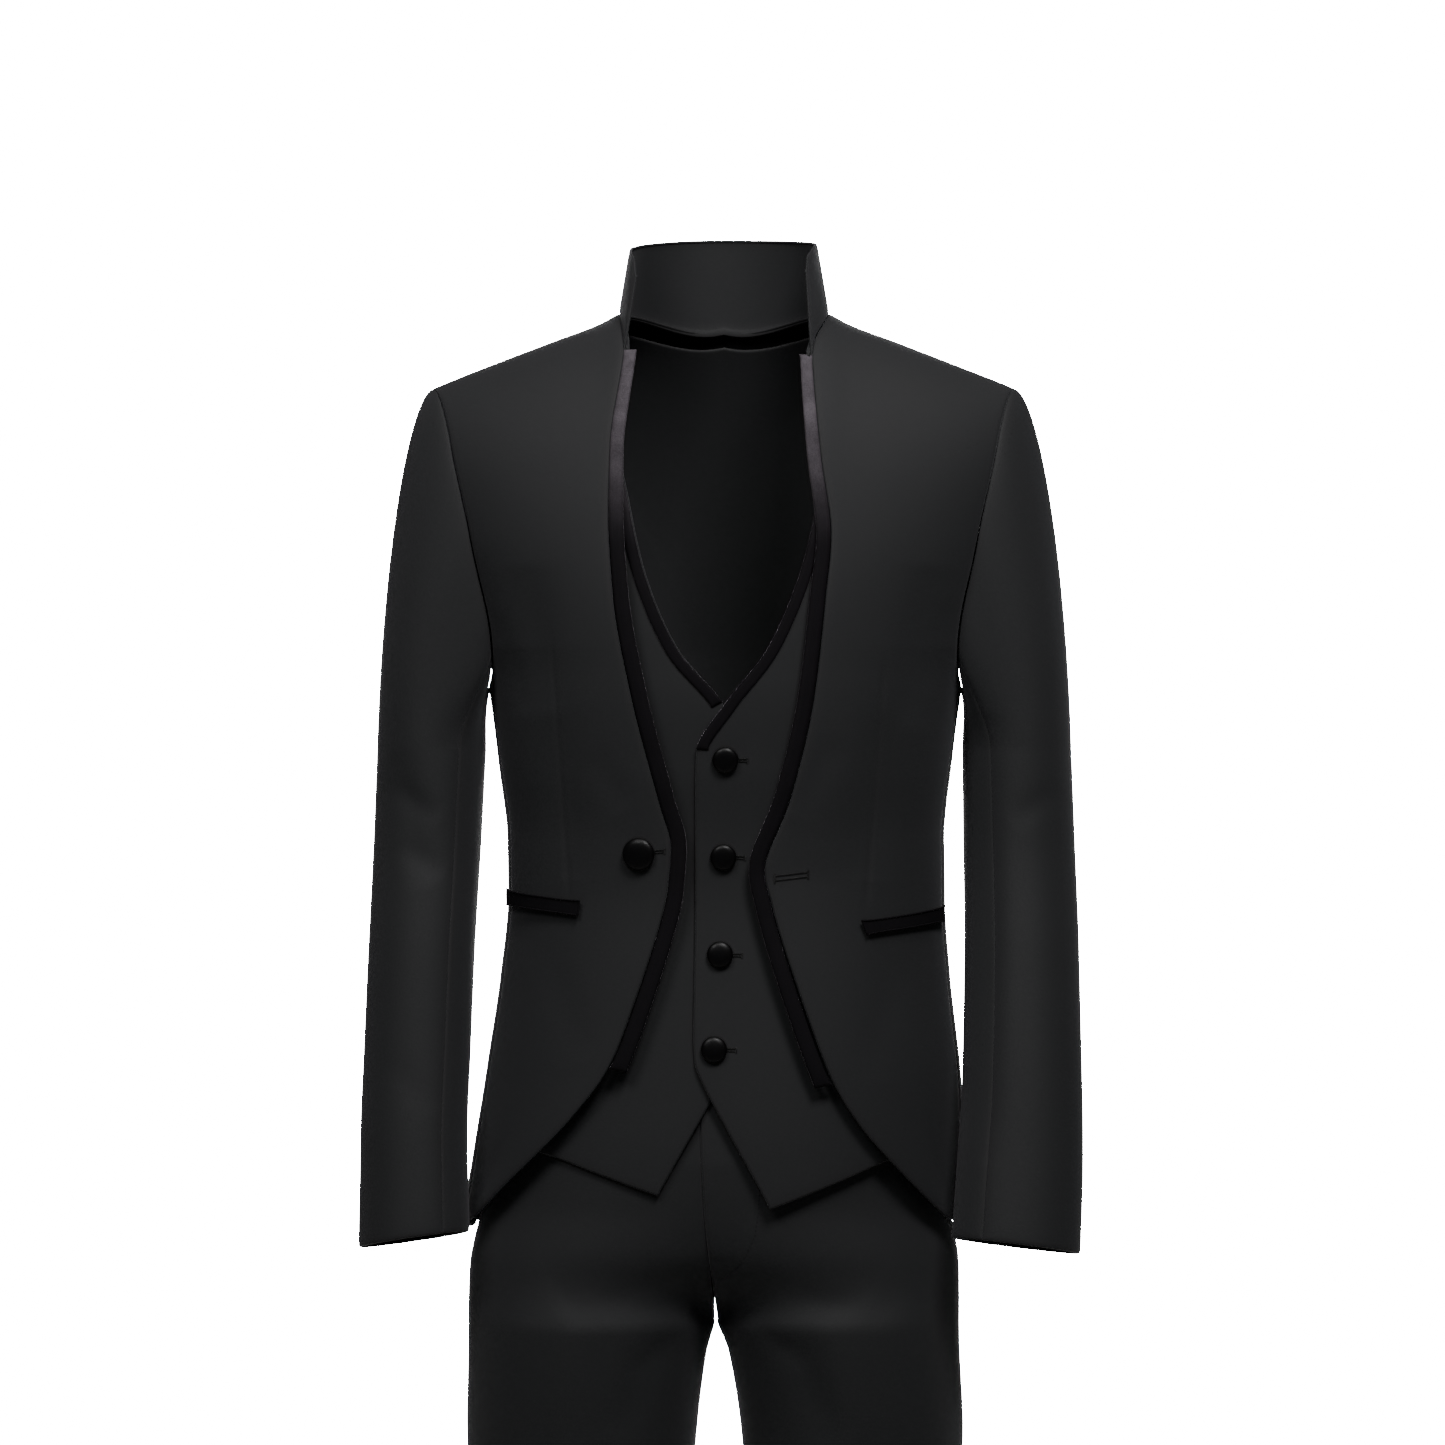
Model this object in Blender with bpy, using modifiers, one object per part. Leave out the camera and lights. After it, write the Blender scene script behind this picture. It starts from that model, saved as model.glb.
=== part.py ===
"""Three-piece tuxedo as it is worn: jacket, waistcoat and trousers, each cut piece its own cloth wall.

Sizes are in millimetres in the tables and in metres in the scene. +Z is up, the wearer faces -Y,
and the origin lies at the base of the neck, between the two shoulder seams. Left and right are the
wearer's, so the left is at +X.
"""

from collections import namedtuple

import bmesh
import bpy
import numpy as np
from mathutils import Vector

MM = 0.001
SEAM = 0.3  # the room between two pieces that are sewn together

# Walls and how far each garment lies inside the jacket's outer face.
JACKET_WALL = 2.0
WAISTCOAT_WALL = 2.0
TROUSER_WALL = 1.6
VELVET_WALL = 2.8
WAISTCOAT_INSET = 6.0
UNDER_LAP = 4.4
TROUSER_INSET = 14.0
BACK_EASE = 5.0  # how much further in the inner garments lie at the middle of the back

# The jacket's form. Below BREAK a level is a height; above it the levels lean over to the ridge
# of the shoulders, which they reach at level 0.
BREAK = -250.0
FRONT_LEAN = 2.2
BACK_LEAN = 2.6
NECK_HALF = 80.0
BACK_NECK_SHARE = 0.63
COAT_HEM = -687.0

# Where the seams of the side bodies meet the armhole, by turns, and their angles at the waist.
FOOT_FRONT = 157.0
FOOT_BACK = 240.0
SIDE_ANGLE = 80.0
SIDE_BACK_ANGLE = 120.0
NECK_ROWS = 0.12  # shares of a back's height that the seams of the collar and the armhole take up
ARM_ROWS = 0.37
NECK_TURNS = (0, 17, 34, 50, 66, 82, 90)  # round half of the collar's seam on the back

Section = namedtuple("Section", "height middle half front back square")
TORSO = [
    Section(*row)
    for row in (
        (-800, -4.5, 196, 128, 136, 2.3),
        (-760, -4.5, 195, 128, 136, 2.3),
        (-690, -3.5, 192.5, 128, 134, 2.3),
        (-636, -1.0, 187, 127, 131, 2.3),
        (-569, 2.7, 180, 123, 124, 2.3),
        (-500, 4.0, 171, 118, 112, 2.3),
        (-437, 5.0, 166, 115, 105, 2.3),
        (-397, 4.5, 166, 117, 105, 2.3),
        (-340, 4.0, 172, 124, 110, 2.3),
        (-275, 4.0, 181, 129, 117, 2.3),
        (-240, 3.5, 192, 129, 119, 2.3),
        (-190, 3.0, 214, 127, 118, 2.3),
        (-120, 3.0, 234, 124, 116, 2.3),
        (0, 3.0, 245, 116, 113, 2.3),
    )
]

Ridge = namedtuple("Ridge", "across height")
SHOULDER_RIDGE = [
    Ridge(*row)
    for row in ((0, 30), (45, 17), (78, 5), (95, -4), (130, -17), (180, -36), (222, -53), (262, -72))
]

# One turn round the seam of the sleeve, from the shoulder tip down the front and up the back.
Armhole = namedtuple("Armhole", "turn across height")
ARMHOLE = [
    Armhole(*row)
    for row in (
        (0, 221, -53),
        (28, 206, -98),
        (60, 194, -154),
        (88, 184, -203),
        (108, 177, -240),
        (128, 176, -262),
        (155, 179, -279),
        (180, 183, -285),
        (205, 180, -281),
        (232, 178.5, -268),
        (252, 184, -240),
        (272, 191, -203),
        (300, 199, -154),
        (332, 208, -98),
        (360, 221, -53),
    )
]

# The fronts, a row for each point of the front edge: its place, how far the edge stands off the
# body, and how far down the armhole (0 to 1) and the side seam (1 to 2) the row ends.
Edge = namedtuple("Edge", "across height lift down")
RIGHT_FRONT = [
    Edge(*row)
    for row in (
        (-77, 4, 0, 0.0),
        (-73, -25, 0, 0.16),
        (-83, -98, 0, 0.42),
        (-84, -150, 1, 0.60),
        (-80, -214, 2, 0.83),
        (-66, -290, 2, 1.03),
        (-46, -366, 2, 1.21),
        (-37, -401, 2, 1.30),
        (-39.5, -434, 2, 1.39),
        (-64, -518, 3, 1.59),
        (-83, -566, 3, 1.70),
        (-110, -603, 3, 1.80),
        (-163, -657, 2, 1.92),
        (-186, -681, 0, 1.995),
    )
]
LEFT_FRONT = [
    Edge(*row)
    for row in (
        (83, 3, 0, 0.0),
        (70, -29, 0, 0.16),
        (76, -105, 0, 0.43),
        (83.5, -165, 1, 0.64),
        (79, -214, 2, 0.83),
        (70, -290, 3, 1.03),
        (52, -366, 4, 1.21),
        (33.5, -417, 4, 1.33),
        (39, -446, 5, 1.41),
        (61, -518, 6, 1.59),
        (84, -578, 5, 1.73),
        (104, -610, 4, 1.81),
        (147, -657, 2, 1.92),
        (172, -681, 0, 1.995),
    )
]

# The velvet trim: how wide it is along its way, by its row in the tables above.
Trim = namedtuple("Trim", "row wide")
TRIM = [Trim(*row) for row in ((1, 9), (2, 10.5), (4, 11.5), (9, 12), (10, 12))]
TRIM_START = 1.0
TRIM_END = 10.0
VELVET_PROUD = 0.4

# Pocket welts, by their four corners seen from the front, and buttons.
WELT_WALL = 1.6
WELTS = {
    "right": ((-158, -433), (-104, -441), (-105, -452), (-158, -445)),
    "left": ((105, -456), (166, -446), (166, -457), (109, -466)),
}
JACKET_BUTTON = (25.0, -60.5, -405.5)
VEST_BUTTON = 20.0
VEST_BUTTONS = ((4, -335), (2.5, -408), (0, -481), (-4.5, -552))
BUTTON_ROOM = 0.9
BUTTON_PROFILE = ((0, 0.24), (0.5, 0.22), (0.82, 0.165), (0.97, 0.1), (1, 0.05), (0.93, 0), (0, 0))

# Sleeves, a row for each section from the cuff to just under the arm.
Ring = namedtuple("Ring", "height middle half forward deep square")
RIGHT_SLEEVE = [
    Ring(*row)
    for row in (
        (-696, -230.5, 42, -68, 47, 2.1),
        (-619, -231, 40.5, -53, 49, 2.1),
        (-559, -229, 40.5, -40, 51, 2.1),
        (-478, -226, 40.5, -22, 55, 2.1),
        (-397, -222, 41, -6, 58, 2.1),
        (-327, -219, 41.5, 0, 62, 2.1),
    )
]
LEFT_SLEEVE = [
    Ring(*row)
    for row in (
        (-700, 222.5, 48.5, -88, 47, 2.1),
        (-640, 226, 47.5, -72, 49, 2.1),
        (-579, 228, 45.5, -56, 51, 2.1),
        (-478, 228.5, 43.5, -28, 55, 2.1),
        (-397, 227, 42.5, -8, 58, 2.1),
        (-327, 225.5, 41.5, 0, 62, 2.1),
    )
]
CUFF_FADE = 130.0  # the height over which the slant of the cuff dies out
CUFF_SLANT = 6.0
CUFF_RISE = 4.0
FRONT_SEAM = 122.0  # turns round the sleeve where the under sleeve starts and ends
HIND_SEAM = 248.0
HEAD_ROWS = 0.4  # share of a sleeve's rows that its head takes up
HEAD_REACH = 15.0  # how far the head of the sleeve stands out beyond the seam
HEAD_FRONT = 6.0
SLEEVE_GAP = 0.55

COLLAR_TURN = 125.0
Stand = namedtuple("Stand", "turn base top half")
COLLAR = [
    Stand(*row)
    for row in (
        (-125, 0, 30, 82),
        (-118, 0, 43, 78),
        (-90, 0, 53, 72),
        (0, 0, 62, 72),
        (90, 0, 57, 71),
        (118, 0, 46, 73),
        (125, 0, 34, 77),
    )
]
COLLAR_BACK = 71.0
COLLAR_FRONT = 92.0

# Waistcoat fronts, a row for each point from the shoulder by the neck to the hem at the side.
Vest = namedtuple("Vest", "across height down")
VEST_LEFT = [
    Vest(*row)
    for row in (
        (96, -4, 0.0),
        (91, -60, 0.30),
        (76, -130, 0.62),
        (62, -190, 0.86),
        (37, -250, 1.08),
        (5, -292, 1.20),
        (-17, -327, 1.28),
        (-18, -350, 1.34),
        (-18, -440, 1.57),
        (-19.5, -540, 1.80),
        (-18.5, -562, 1.85),
        (38, -671, 1.999),
    )
]
VEST_RIGHT = [
    Vest(*row)
    for row in (
        (-90, -4, 0.0),
        (-86, -60, 0.30),
        (-72, -130, 0.62),
        (-59, -190, 0.86),
        (-34, -250, 1.08),
        (1, -292, 1.20),
        (17, -327, 1.28),
        (18, -350, 1.34),
        (18, -440, 1.57),
        (18, -530, 1.80),
        (14, -550, 1.85),
        (-48, -661, 1.999),
    )
]
VEST_SIDE_HEM = -618.0
VEST_BACK_HEM = -600.0
VEST_NECK_HALF = 93.0
VEST_NECK_SHARE = 0.66
VEST_SHOULDER_SHARE = 0.2
Rise = namedtuple("Rise", "share rise")
VEST_HEM = [Rise(*row) for row in ((0, 0), (0.2, 0.36), (0.4, 0.66), (0.7, 0.9), (1, 1))]
BINDING_WIDE = 8.0
BINDING_WALL = 1.2
BINDING_ENDS = {"left": 6.0, "right": 5.0}
VEST_ARMHOLE = [
    Armhole(*row)
    for row in (
        (0, 140, -21),
        (40, 137, -90),
        (90, 138, -170),
        (130, 152, -240),
        (155, 168, -282),
        (180, 190, -300),
        (205, 168, -285),
        (235, 156, -240),
        (270, 147, -170),
        (320, 142, -90),
        (360, 140, -21),
    )
]

# Legs below the fork, and how far the sections have turned from hips to legs above it.
Leg = namedtuple("Leg", "height middle half forward front back square")
RIGHT_LEG = [
    Leg(*row)
    for row in (
        (-1555, -108, 54, 16, 66, 66, 2.0),
        (-1330, -108, 60, 14, 68, 72, 2.0),
        (-1110, -107, 68, 6, 74, 78, 2.05),
        (-980, -106.5, 77, 0, 84, 90, 2.1),
        (-853, -105, 87, 0, 99, 107, 2.15),
        (-785, -100.6, 90.8, 0, 106, 116, 2.2),
        (-762, -97.3, 94, 0, 108, 117, 2.2),
    )
]
LEFT_LEG = [
    Leg(*row)
    for row in (
        (-1555, 106, 54, 16, 66, 66, 2.0),
        (-1330, 105, 60, 14, 68, 72, 2.0),
        (-1110, 103.5, 67, 6, 74, 78, 2.05),
        (-980, 102.5, 75, 0, 84, 90, 2.1),
        (-853, 100.7, 84, 0, 99, 107, 2.15),
        (-785, 94.4, 88, 0, 106, 116, 2.2),
        (-762, 89.6, 92.3, 0, 108, 117, 2.2),
    )
]
Fork = namedtuple("Fork", "height share")
FORK = [
    Fork(*row)
    for row in ((-762, 1.0), (-755, 0.86), (-745, 0.62), (-730, 0.36), (-705, 0.14), (-670, 0.03), (-640, 0))
]
WAIST_TOP = -500.0
BAND_FOOT = -538.0
BAND_ENDS = 0.0006  # the room between the ends of the waistband, as a share of its length
TROUSER_HEM = -1555.0
HIP_EASE = 6.0  # how much fuller the trousers are below the jacket's hem
CREASE_RISE = 3.0
CREASE_HALF = 9.0
CREASE_TURN = {"left": 92.0, "right": 83.0}
TROUSER_ROWS = (
    -538, -545, -580, -620, -655, -685, -708, -725, -738, -748, -756, -762,
    -775, -800, -835, -880, -940, -1010, -1100, -1200, -1310, -1430, -1545, -1555,
)

# The fly: its edge on the left front, and how far the right front goes on under it and how deep.
Fly = namedtuple("Fly", "height across lap sink")
FLY = [
    Fly(*row)
    for row in (
        (-762, -3, 0, 0),
        (-748, -6, 0, 0),
        (-738, -7, 0, 2.0),
        (-725, -8, 0, 3.6),
        (-708, -9.5, 4, 3.8),
        (-670, -12, 7, 2.6),
        (-600, -14.5, 7, 2.3),
        (-500, -15, 7, 2.3),
    )
]
SINK_SHARE = 0.14

# Main folds and hollows: where one starts and ends seen from the front, its depth and half breadth.
Fold = namedtuple("Fold", "garment side x0 z0 x1 z1 deep wide")
FOLDS = [
    Fold(*row)
    for row in (
        ("jacket", "front", -146, -190, -132, -300, 3.0, 17),
        ("jacket", "front", 158, -190, 146, -310, 3.5, 17),
        ("jacket", "front", -122, -300, -112, -425, 1.6, 15),
        ("jacket", "front", 122, -300, 112, -425, 1.8, 15),
        ("jacket", "back", -118, -180, -96, -350, 3.0, 20),
        ("jacket", "back", 124, -190, 102, -370, 3.4, 20),
        ("jacket", "back", 0, -420, 6, -640, 2.4, 24),
        ("sleeve", "front", 203, -300, 199, -640, 3.2, 12),
        ("sleeve", "front", -244, -330, -222, -430, 2.4, 14),
        ("sleeve", "back", -236, -300, -214, -420, 2.6, 15),
        ("sleeve", "back", 238, -310, 216, -450, 2.8, 15),
        ("trousers", "front", 52, -764, 84, -850, 3.0, 14),
        ("trousers", "front", -40, -766, -78, -846, 2.2, 15),
        ("trousers", "back", -46, -790, -96, -900, 3.2, 18),
        ("trousers", "back", 40, -786, 92, -905, 3.6, 18),
    )
]


def curve(rows, column, key=0):
    """The smooth way through one column of a table by another; it never swings past a row."""
    pairs = sorted((row[key], getattr(row, column)) for row in rows)
    x, y = np.array(pairs, float).T
    gap = np.diff(x)
    slope = np.diff(y) / gap
    tangent = np.zeros(len(y))
    tangent[0], tangent[-1] = slope[0], slope[-1]
    for i in range(1, len(y) - 1):
        if slope[i - 1] * slope[i] > 0:
            tangent[i] = 2 * slope[i - 1] * slope[i] / (slope[i - 1] + slope[i])

    def at(value):
        value = np.clip(value, x[0], x[-1])
        i = np.clip(np.searchsorted(x, value) - 1, 0, len(gap) - 1)
        u = (value - x[i]) / gap[i]
        ends = (1 + 2 * u) * (1 - u) ** 2 * y[i] + u * u * (3 - 2 * u) * y[i + 1]
        return ends + gap[i] * (u * (1 - u) ** 2 * tangent[i] + u * u * (u - 1) * tangent[i + 1])

    return at


Step = namedtuple("Step", "row value")


def by_row(rows, column):
    """The smooth way through one column of a table by the share of the way down its rows."""
    last = len(rows) - 1
    return curve([Step(i / last, getattr(row, column)) for i, row in enumerate(rows)], "value")


TORSO_AT = {name: curve(TORSO, name) for name in Section._fields[1:]}
RIDGE_AT = curve(SHOULDER_RIDGE, "height")


def smoothstep(value, low, high):
    t = np.clip((value - low) / (high - low), 0, 1)
    return t * t * (3 - 2 * t)


def signed_power(value, power):
    return np.sign(value) * np.abs(value) ** power


def torso(angle, level, out=0.0):
    """A point of the worn form: degrees from the centre front and a level, moved out so far."""
    angle, level = np.broadcast_arrays(np.asarray(angle, float), np.asarray(level, float))
    turn = np.radians(angle)
    front = np.cos(turn) > 0
    power = 2 / TORSO_AT["square"](level)
    middle = TORSO_AT["middle"](level)
    across = (TORSO_AT["half"](level) + out) * signed_power(np.sin(turn), power)
    deep = np.where(front, TORSO_AT["front"](level), TORSO_AT["back"](level)) + out
    lean = np.radians(90) * np.clip(1 - level / BREAK, 0, 1)
    tip = 2 / np.where(front, FRONT_LEAN, BACK_LEAN)
    top = RIDGE_AT(np.abs(across)) + out
    height = np.minimum(level, BREAK) + (top - BREAK) * np.sin(lean) ** tip
    depth = -deep * signed_power(np.cos(turn), power) * np.cos(lean) ** tip
    return np.stack([middle + across, depth, height], axis=-1)


def place(across, height, out=0.0, back=False):
    """The angle and level where the form, seen from the front, shows this point."""
    across, height = np.broadcast_arrays(np.asarray(across, float), np.asarray(height, float))
    lean = BACK_LEAN if back else FRONT_LEAN
    level = np.minimum(height, BREAK)
    for _ in range(5):
        top = RIDGE_AT(np.abs(across - TORSO_AT["middle"](level))) + out
        share = np.clip((height - BREAK) / (top - BREAK), 0, 1)
        rise = np.degrees(np.arcsin(share ** (lean / 2))) / 90
        level = np.where(height > BREAK, BREAK - BREAK * rise, height)
    away = (across - TORSO_AT["middle"](level)) / (TORSO_AT["half"](level) + out)
    share = np.clip(np.abs(away), 0, 1) ** (TORSO_AT["square"](level) / 2)
    angle = np.degrees(np.arcsin(share))
    angle = 180 - angle if back else angle
    return np.where(away < 0, -angle, angle), level


Turn = namedtuple("Turn", "turn angle level")


def armhole(rows, out=0.0):
    """The angle and level round an armhole by its turn, on the wearer's left."""
    found = []
    for row in rows:
        middle = TORSO_AT["middle"](row.height)
        angle, level = place(middle + row.across, row.height, out, row.turn > 180)
        found.append(Turn(row.turn, 90.0 if row.turn == 180 else float(angle), float(level)))
    angle, level = curve(found, "angle"), curve(found, "level")
    return lambda turn: (angle(turn), level(turn))


def side_line(side, arm, tip, foot, hem, seam):
    """Down the armhole from the shoulder (0) to its foot (1), then down the seam to the hem (2)."""
    foot_angle, foot_level = arm(foot)

    def at(down):
        angle, level = arm(tip + (foot - tip) * np.clip(down, 0, 1))
        below = foot_level + (hem - foot_level) * np.clip(down - 1, 0, 1)
        seam_angle = foot_angle + (seam - foot_angle) * smoothstep(foot_level - below, 0, 90)
        return side * np.where(down < 1, angle, seam_angle), np.where(down < 1, level, below)

    return at


def coons(top, bottom, near, far):
    """A patch of angles and levels spanned between its four sides."""

    def at(u, v):
        lines = zip(top(u), bottom(u), near(v), far(v), near(0.0 * v), far(0 * v), near(1 + 0 * v), far(1 + 0 * v))
        return tuple(
            (1 - v) * t + v * b + (1 - u) * n + u * f
            - (1 - v) * ((1 - u) * n0 + u * f0) - v * ((1 - u) * n1 + u * f1)
            for t, b, n, f, n0, f0, n1, f1 in lines
        )

    return at


def straight(first, last):
    """The even way from one angle and level to another."""
    return lambda share: tuple(a + (b - a) * share for a, b in zip(first, last))


def drawn_in(form, sides=SEAM / 2, ends=SEAM / 2):
    """A surface with its sides and ends drawn in by these lengths."""

    def at(u, v):
        zero, one = 0 * u, 0 * u + 1
        wide = np.linalg.norm(form(one, v) - form(zero, v), axis=-1)
        tall = np.linalg.norm(form(u, one) - form(u, zero), axis=-1)
        du, dv = sides / np.maximum(wide, 8 * sides + 1), ends / np.maximum(tall, 8 * ends + 1)
        return form(du + u * (1 - 2 * du), dv + v * (1 - 2 * dv))

    return at


def outward(form, u, v):
    """The direction in which a surface faces away from the body."""
    step = 1e-3
    du = form(np.minimum(u + step, 1), v) - form(np.maximum(u - step, 0), v)
    dv = form(u, np.minimum(v + step, 1)) - form(u, np.maximum(v - step, 0))
    normal = np.cross(du, dv)
    return normal / np.maximum(np.linalg.norm(normal, axis=-1), 1e-9)[..., None]


def moved_out(form, out):
    return lambda u, v: form(u, v) + outward(form, u, v) * out


def mirrored(form):
    """The same surface run from its other side, so that it faces the other way."""
    return lambda u, v: form(1 - u, v)


def folded(form, garment):
    """A surface with the main folds of its garment pressed in."""

    def at(u, v):
        points = form(u, v)
        normal = outward(form, u, v)
        push = np.zeros(points.shape[:-1])
        for fold in FOLDS:
            if fold.garment != garment:
                continue
            start, end = np.array([fold.x0, fold.z0]), np.array([fold.x1, fold.z1])
            way = end - start
            flat = points[..., [0, 2]] - start
            along = np.clip(flat @ way / (way @ way), 0, 1)
            off = np.linalg.norm(flat - along[..., None] * way, axis=-1)
            facing = smoothstep(normal[..., 1] * (-1 if fold.side == "front" else 1), 0.1, 0.5)
            fade = np.sin(np.radians(180) * along) ** 0.7
            push += fold.deep * facing * fade * np.exp(-((off / fold.wide) ** 2))
        return points - normal * push[..., None]

    return at


def spaced(count, end):
    """Places from 0 to 1, with one more close to each end so that a seam keeps its direction."""
    return np.concatenate([[0, end], np.linspace(0, 1, count + 1)[1:-1], [1 - end, 1]])


CLOTH = ((0.012, 0.012, 0.013), 0.85)
VELVET = ((0.004, 0.0035, 0.0045), 0.95)


def shade(obj, finish):
    """The piece's own material: its colour and how rough it is."""
    colour, rough = finish
    material = bpy.data.materials.new(obj.name)
    material.use_nodes = True
    surface = material.node_tree.nodes["Principled BSDF"]
    surface.inputs["Base Color"].default_value = (*colour, 1)
    surface.inputs["Roughness"].default_value = rough
    obj.data.materials.append(material)


def sheet(name, form, across, down, wall, finish=CLOTH):
    """An open grid laid on a surface, with its wall on the inner side."""
    mesh = bpy.data.meshes.new(name)
    grid = bmesh.new()
    bmesh.ops.create_grid(grid, x_segments=len(across) - 1, y_segments=len(down) - 1, size=1)
    flat = (np.array([vert.co[:2] for vert in grid.verts]) + 1) / 2
    column = np.rint(flat[:, 0] * (len(across) - 1)).astype(int)
    row = np.rint(flat[:, 1] * (len(down) - 1)).astype(int)
    for vert, point in zip(grid.verts, form(np.array(across)[column], np.array(down)[row])):
        vert.co = point * MM
    grid.to_mesh(mesh)
    grid.free()
    mesh.shade_smooth()
    obj = bpy.data.objects.new(name, mesh)
    SUIT.objects.link(obj)
    cloth = obj.modifiers.new("Wall", "SOLIDIFY")
    cloth.thickness = wall * MM
    cloth.offset = -1
    shade(obj, finish)
    return obj


def edge_way(rows, out=0.0):
    """The angle and level along a front edge."""
    across, height = by_row(rows, "across"), by_row(rows, "height")
    return lambda share: place(across(share), height(share), out)


def strip(rows, first, last, wide, side, out):
    """A band along an edge between two of its rows: outward beyond it, or inward if wide is less than 0."""
    across, height = by_row(rows, "across"), by_row(rows, "height")
    count = len(rows) - 1

    def line(v, share):
        at = (first + (last - first) * v) / count
        step = 2e-3
        way = np.stack([across(at + step) - across(at - step), height(at + step) - height(at - step)], -1)
        way /= np.linalg.norm(way, axis=-1)[..., None]
        reach = wide(first + (last - first) * v) * share
        return place(across(at) + side * way[..., 1] * reach, height(at) - side * way[..., 0] * reach, out(at))

    def at(u, v):
        across_at = (first + (last - first) * v) / count
        angle, level = line(v, u)
        return torso(angle, level, out(across_at))

    return at


JACKET_ARM = armhole(ARMHOLE)
VEST_ARM = armhole(VEST_ARMHOLE, -WAISTCOAT_INSET)

# The rows and columns of the walls. Pieces that share a seam have their points at the same places.
FRONT_ROWS = np.concatenate([[0, 0.15, 0.5], np.arange(1, 12.6, 0.5), [12.85, 13]])
FRONT_DOWNS = FRONT_ROWS / 13
SEAM_STEPS = np.array([0, 0.02, 0.06, 0.11, 0.16, 0.22, 0.31, 0.42, 0.53, 0.64, 0.76, 0.88, 0.985, 1])
NECK_STEPS = NECK_ROWS * (1 - np.array(NECK_TURNS[::-1]) / 90)
ARM_STEPS = np.linspace(NECK_ROWS, ARM_ROWS, 5)[1:-1]
BACK_DOWNS = np.concatenate([NECK_STEPS, ARM_STEPS, ARM_ROWS + (1 - ARM_ROWS) * SEAM_STEPS])
SIDE_ACROSS = spaced(4, 0.04)
SLEEVE_DOWNS = np.array([0, 0.01, 0.05, 0.12, 0.22, 0.31, 0.4, 0.49, 0.58, 0.68, 0.79, 0.9, 1])
VEST_ACROSS = (0, 0.01, 0.1, 0.2, 0.3, 0.4, 0.5, 0.6, 0.7, 0.8, 0.9, 0.99, 1)
VEST_ROWS = np.concatenate([[0, 0.15], np.arange(0.5, 10.6, 0.5), [10.85, 11]])
VEST_DOWNS = VEST_ROWS / 11
VEST_BACK_DOWNS = np.concatenate([[0, 0.012], np.linspace(0, 1, 15)[1:-1], [0.99, 1]])


def front_form(rows, side):
    """The surface of a jacket front from its edge to the armhole and side seam."""
    down, lift = by_row(rows, "down"), by_row(rows, "lift")
    line = side_line(side, JACKET_ARM, 0, FOOT_FRONT, COAT_HEM, SIDE_ANGLE)
    edge = edge_way(rows)
    far = lambda v: line(down(v))
    zero, one = np.array(0.0), np.array(1.0)
    patch = coons(straight(edge(zero), far(zero)), straight(edge(one), far(one)), edge, far)

    def at(u, v):
        angle, level = patch(u, v)
        return torso(angle, level, lift(v) * (1 - smoothstep(u, 0.0, 0.5)))

    return at


def neck_point(turn, half=NECK_HALF, share=BACK_NECK_SHARE, out=0.0):
    """The angle and level of the neckline on a back, 0 at the nape and 90 at the side."""
    turn = np.radians(turn)
    lean = np.arccos(np.clip(share * np.cos(turn), 0, 1) ** (BACK_LEAN / 2))
    level = BREAK - BREAK * lean / np.radians(90)
    away = half * np.abs(np.sin(turn)) / (TORSO_AT["half"](level) + out)
    angle = 180 - np.degrees(np.arcsin(away ** (TORSO_AT["square"](level) / 2)))
    return angle, level


def back_form(side):
    """The surface of a jacket back from the centre seam to the armhole and side seam."""
    line = side_line(side, JACKET_ARM, 360, FOOT_BACK, COAT_HEM, SIDE_BACK_ANGLE)
    nape_angle, nape_level = neck_point(0.0)

    def near(v):
        angle, level = neck_point(90 * (1 - np.clip(v / NECK_ROWS, 0, 1)))
        lower = nape_level + (COAT_HEM - nape_level) * np.clip((v - NECK_ROWS) / (1 - NECK_ROWS), 0, 1)
        return side * np.where(v < NECK_ROWS, angle, 180), np.where(v < NECK_ROWS, level, lower)

    def far(v):
        return line(np.where(v < ARM_ROWS, v / ARM_ROWS, 1 + (v - ARM_ROWS) / (1 - ARM_ROWS)))

    zero, one = np.array(0.0), np.array(1.0)
    patch = coons(straight(near(zero), far(zero)), straight(near(one), far(one)), near, far)
    return lambda u, v: torso(*patch(u, v))


def side_form(side):
    """The surface of a side body, from the foot of the armhole to the hem."""
    front = side_line(side, JACKET_ARM, 0, FOOT_FRONT, COAT_HEM, SIDE_ANGLE)
    back = side_line(side, JACKET_ARM, 360, FOOT_BACK, COAT_HEM, SIDE_BACK_ANGLE)

    def top(u):
        angle, level = JACKET_ARM(FOOT_FRONT + (FOOT_BACK - FOOT_FRONT) * u)
        return side * angle, level

    near, far = lambda v: front(1 + v), lambda v: back(1 + v)
    one = np.array(1.0)
    patch = coons(top, straight(near(one), far(one)), near, far)
    return lambda u, v: torso(*patch(u, v))


def facing_out(form, side):
    """A surface on the wearer's left or right, run so that it faces away from the body."""
    return form if side < 0 else mirrored(form)


def jacket_body():
    fronts = {}
    for name, rows, side in (("left", LEFT_FRONT, 1), ("right", RIGHT_FRONT, -1)):
        fronts[name] = folded(facing_out(drawn_in(front_form(rows, side)), side), "jacket")
        sheet(f"jacket_front_{name}", fronts[name], spaced(7, 0.02), FRONT_DOWNS, JACKET_WALL)
        form = folded(facing_out(drawn_in(side_form(side), sides=SEAM), side), "jacket")
        sheet(f"jacket_side_{name}", form, SIDE_ACROSS, SEAM_STEPS, JACKET_WALL)
        form = folded(facing_out(drawn_in(back_form(side)), -side), "jacket")
        sheet(f"jacket_back_{name}", form, spaced(7, 0.02), BACK_DOWNS, JACKET_WALL)
    return fronts


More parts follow.
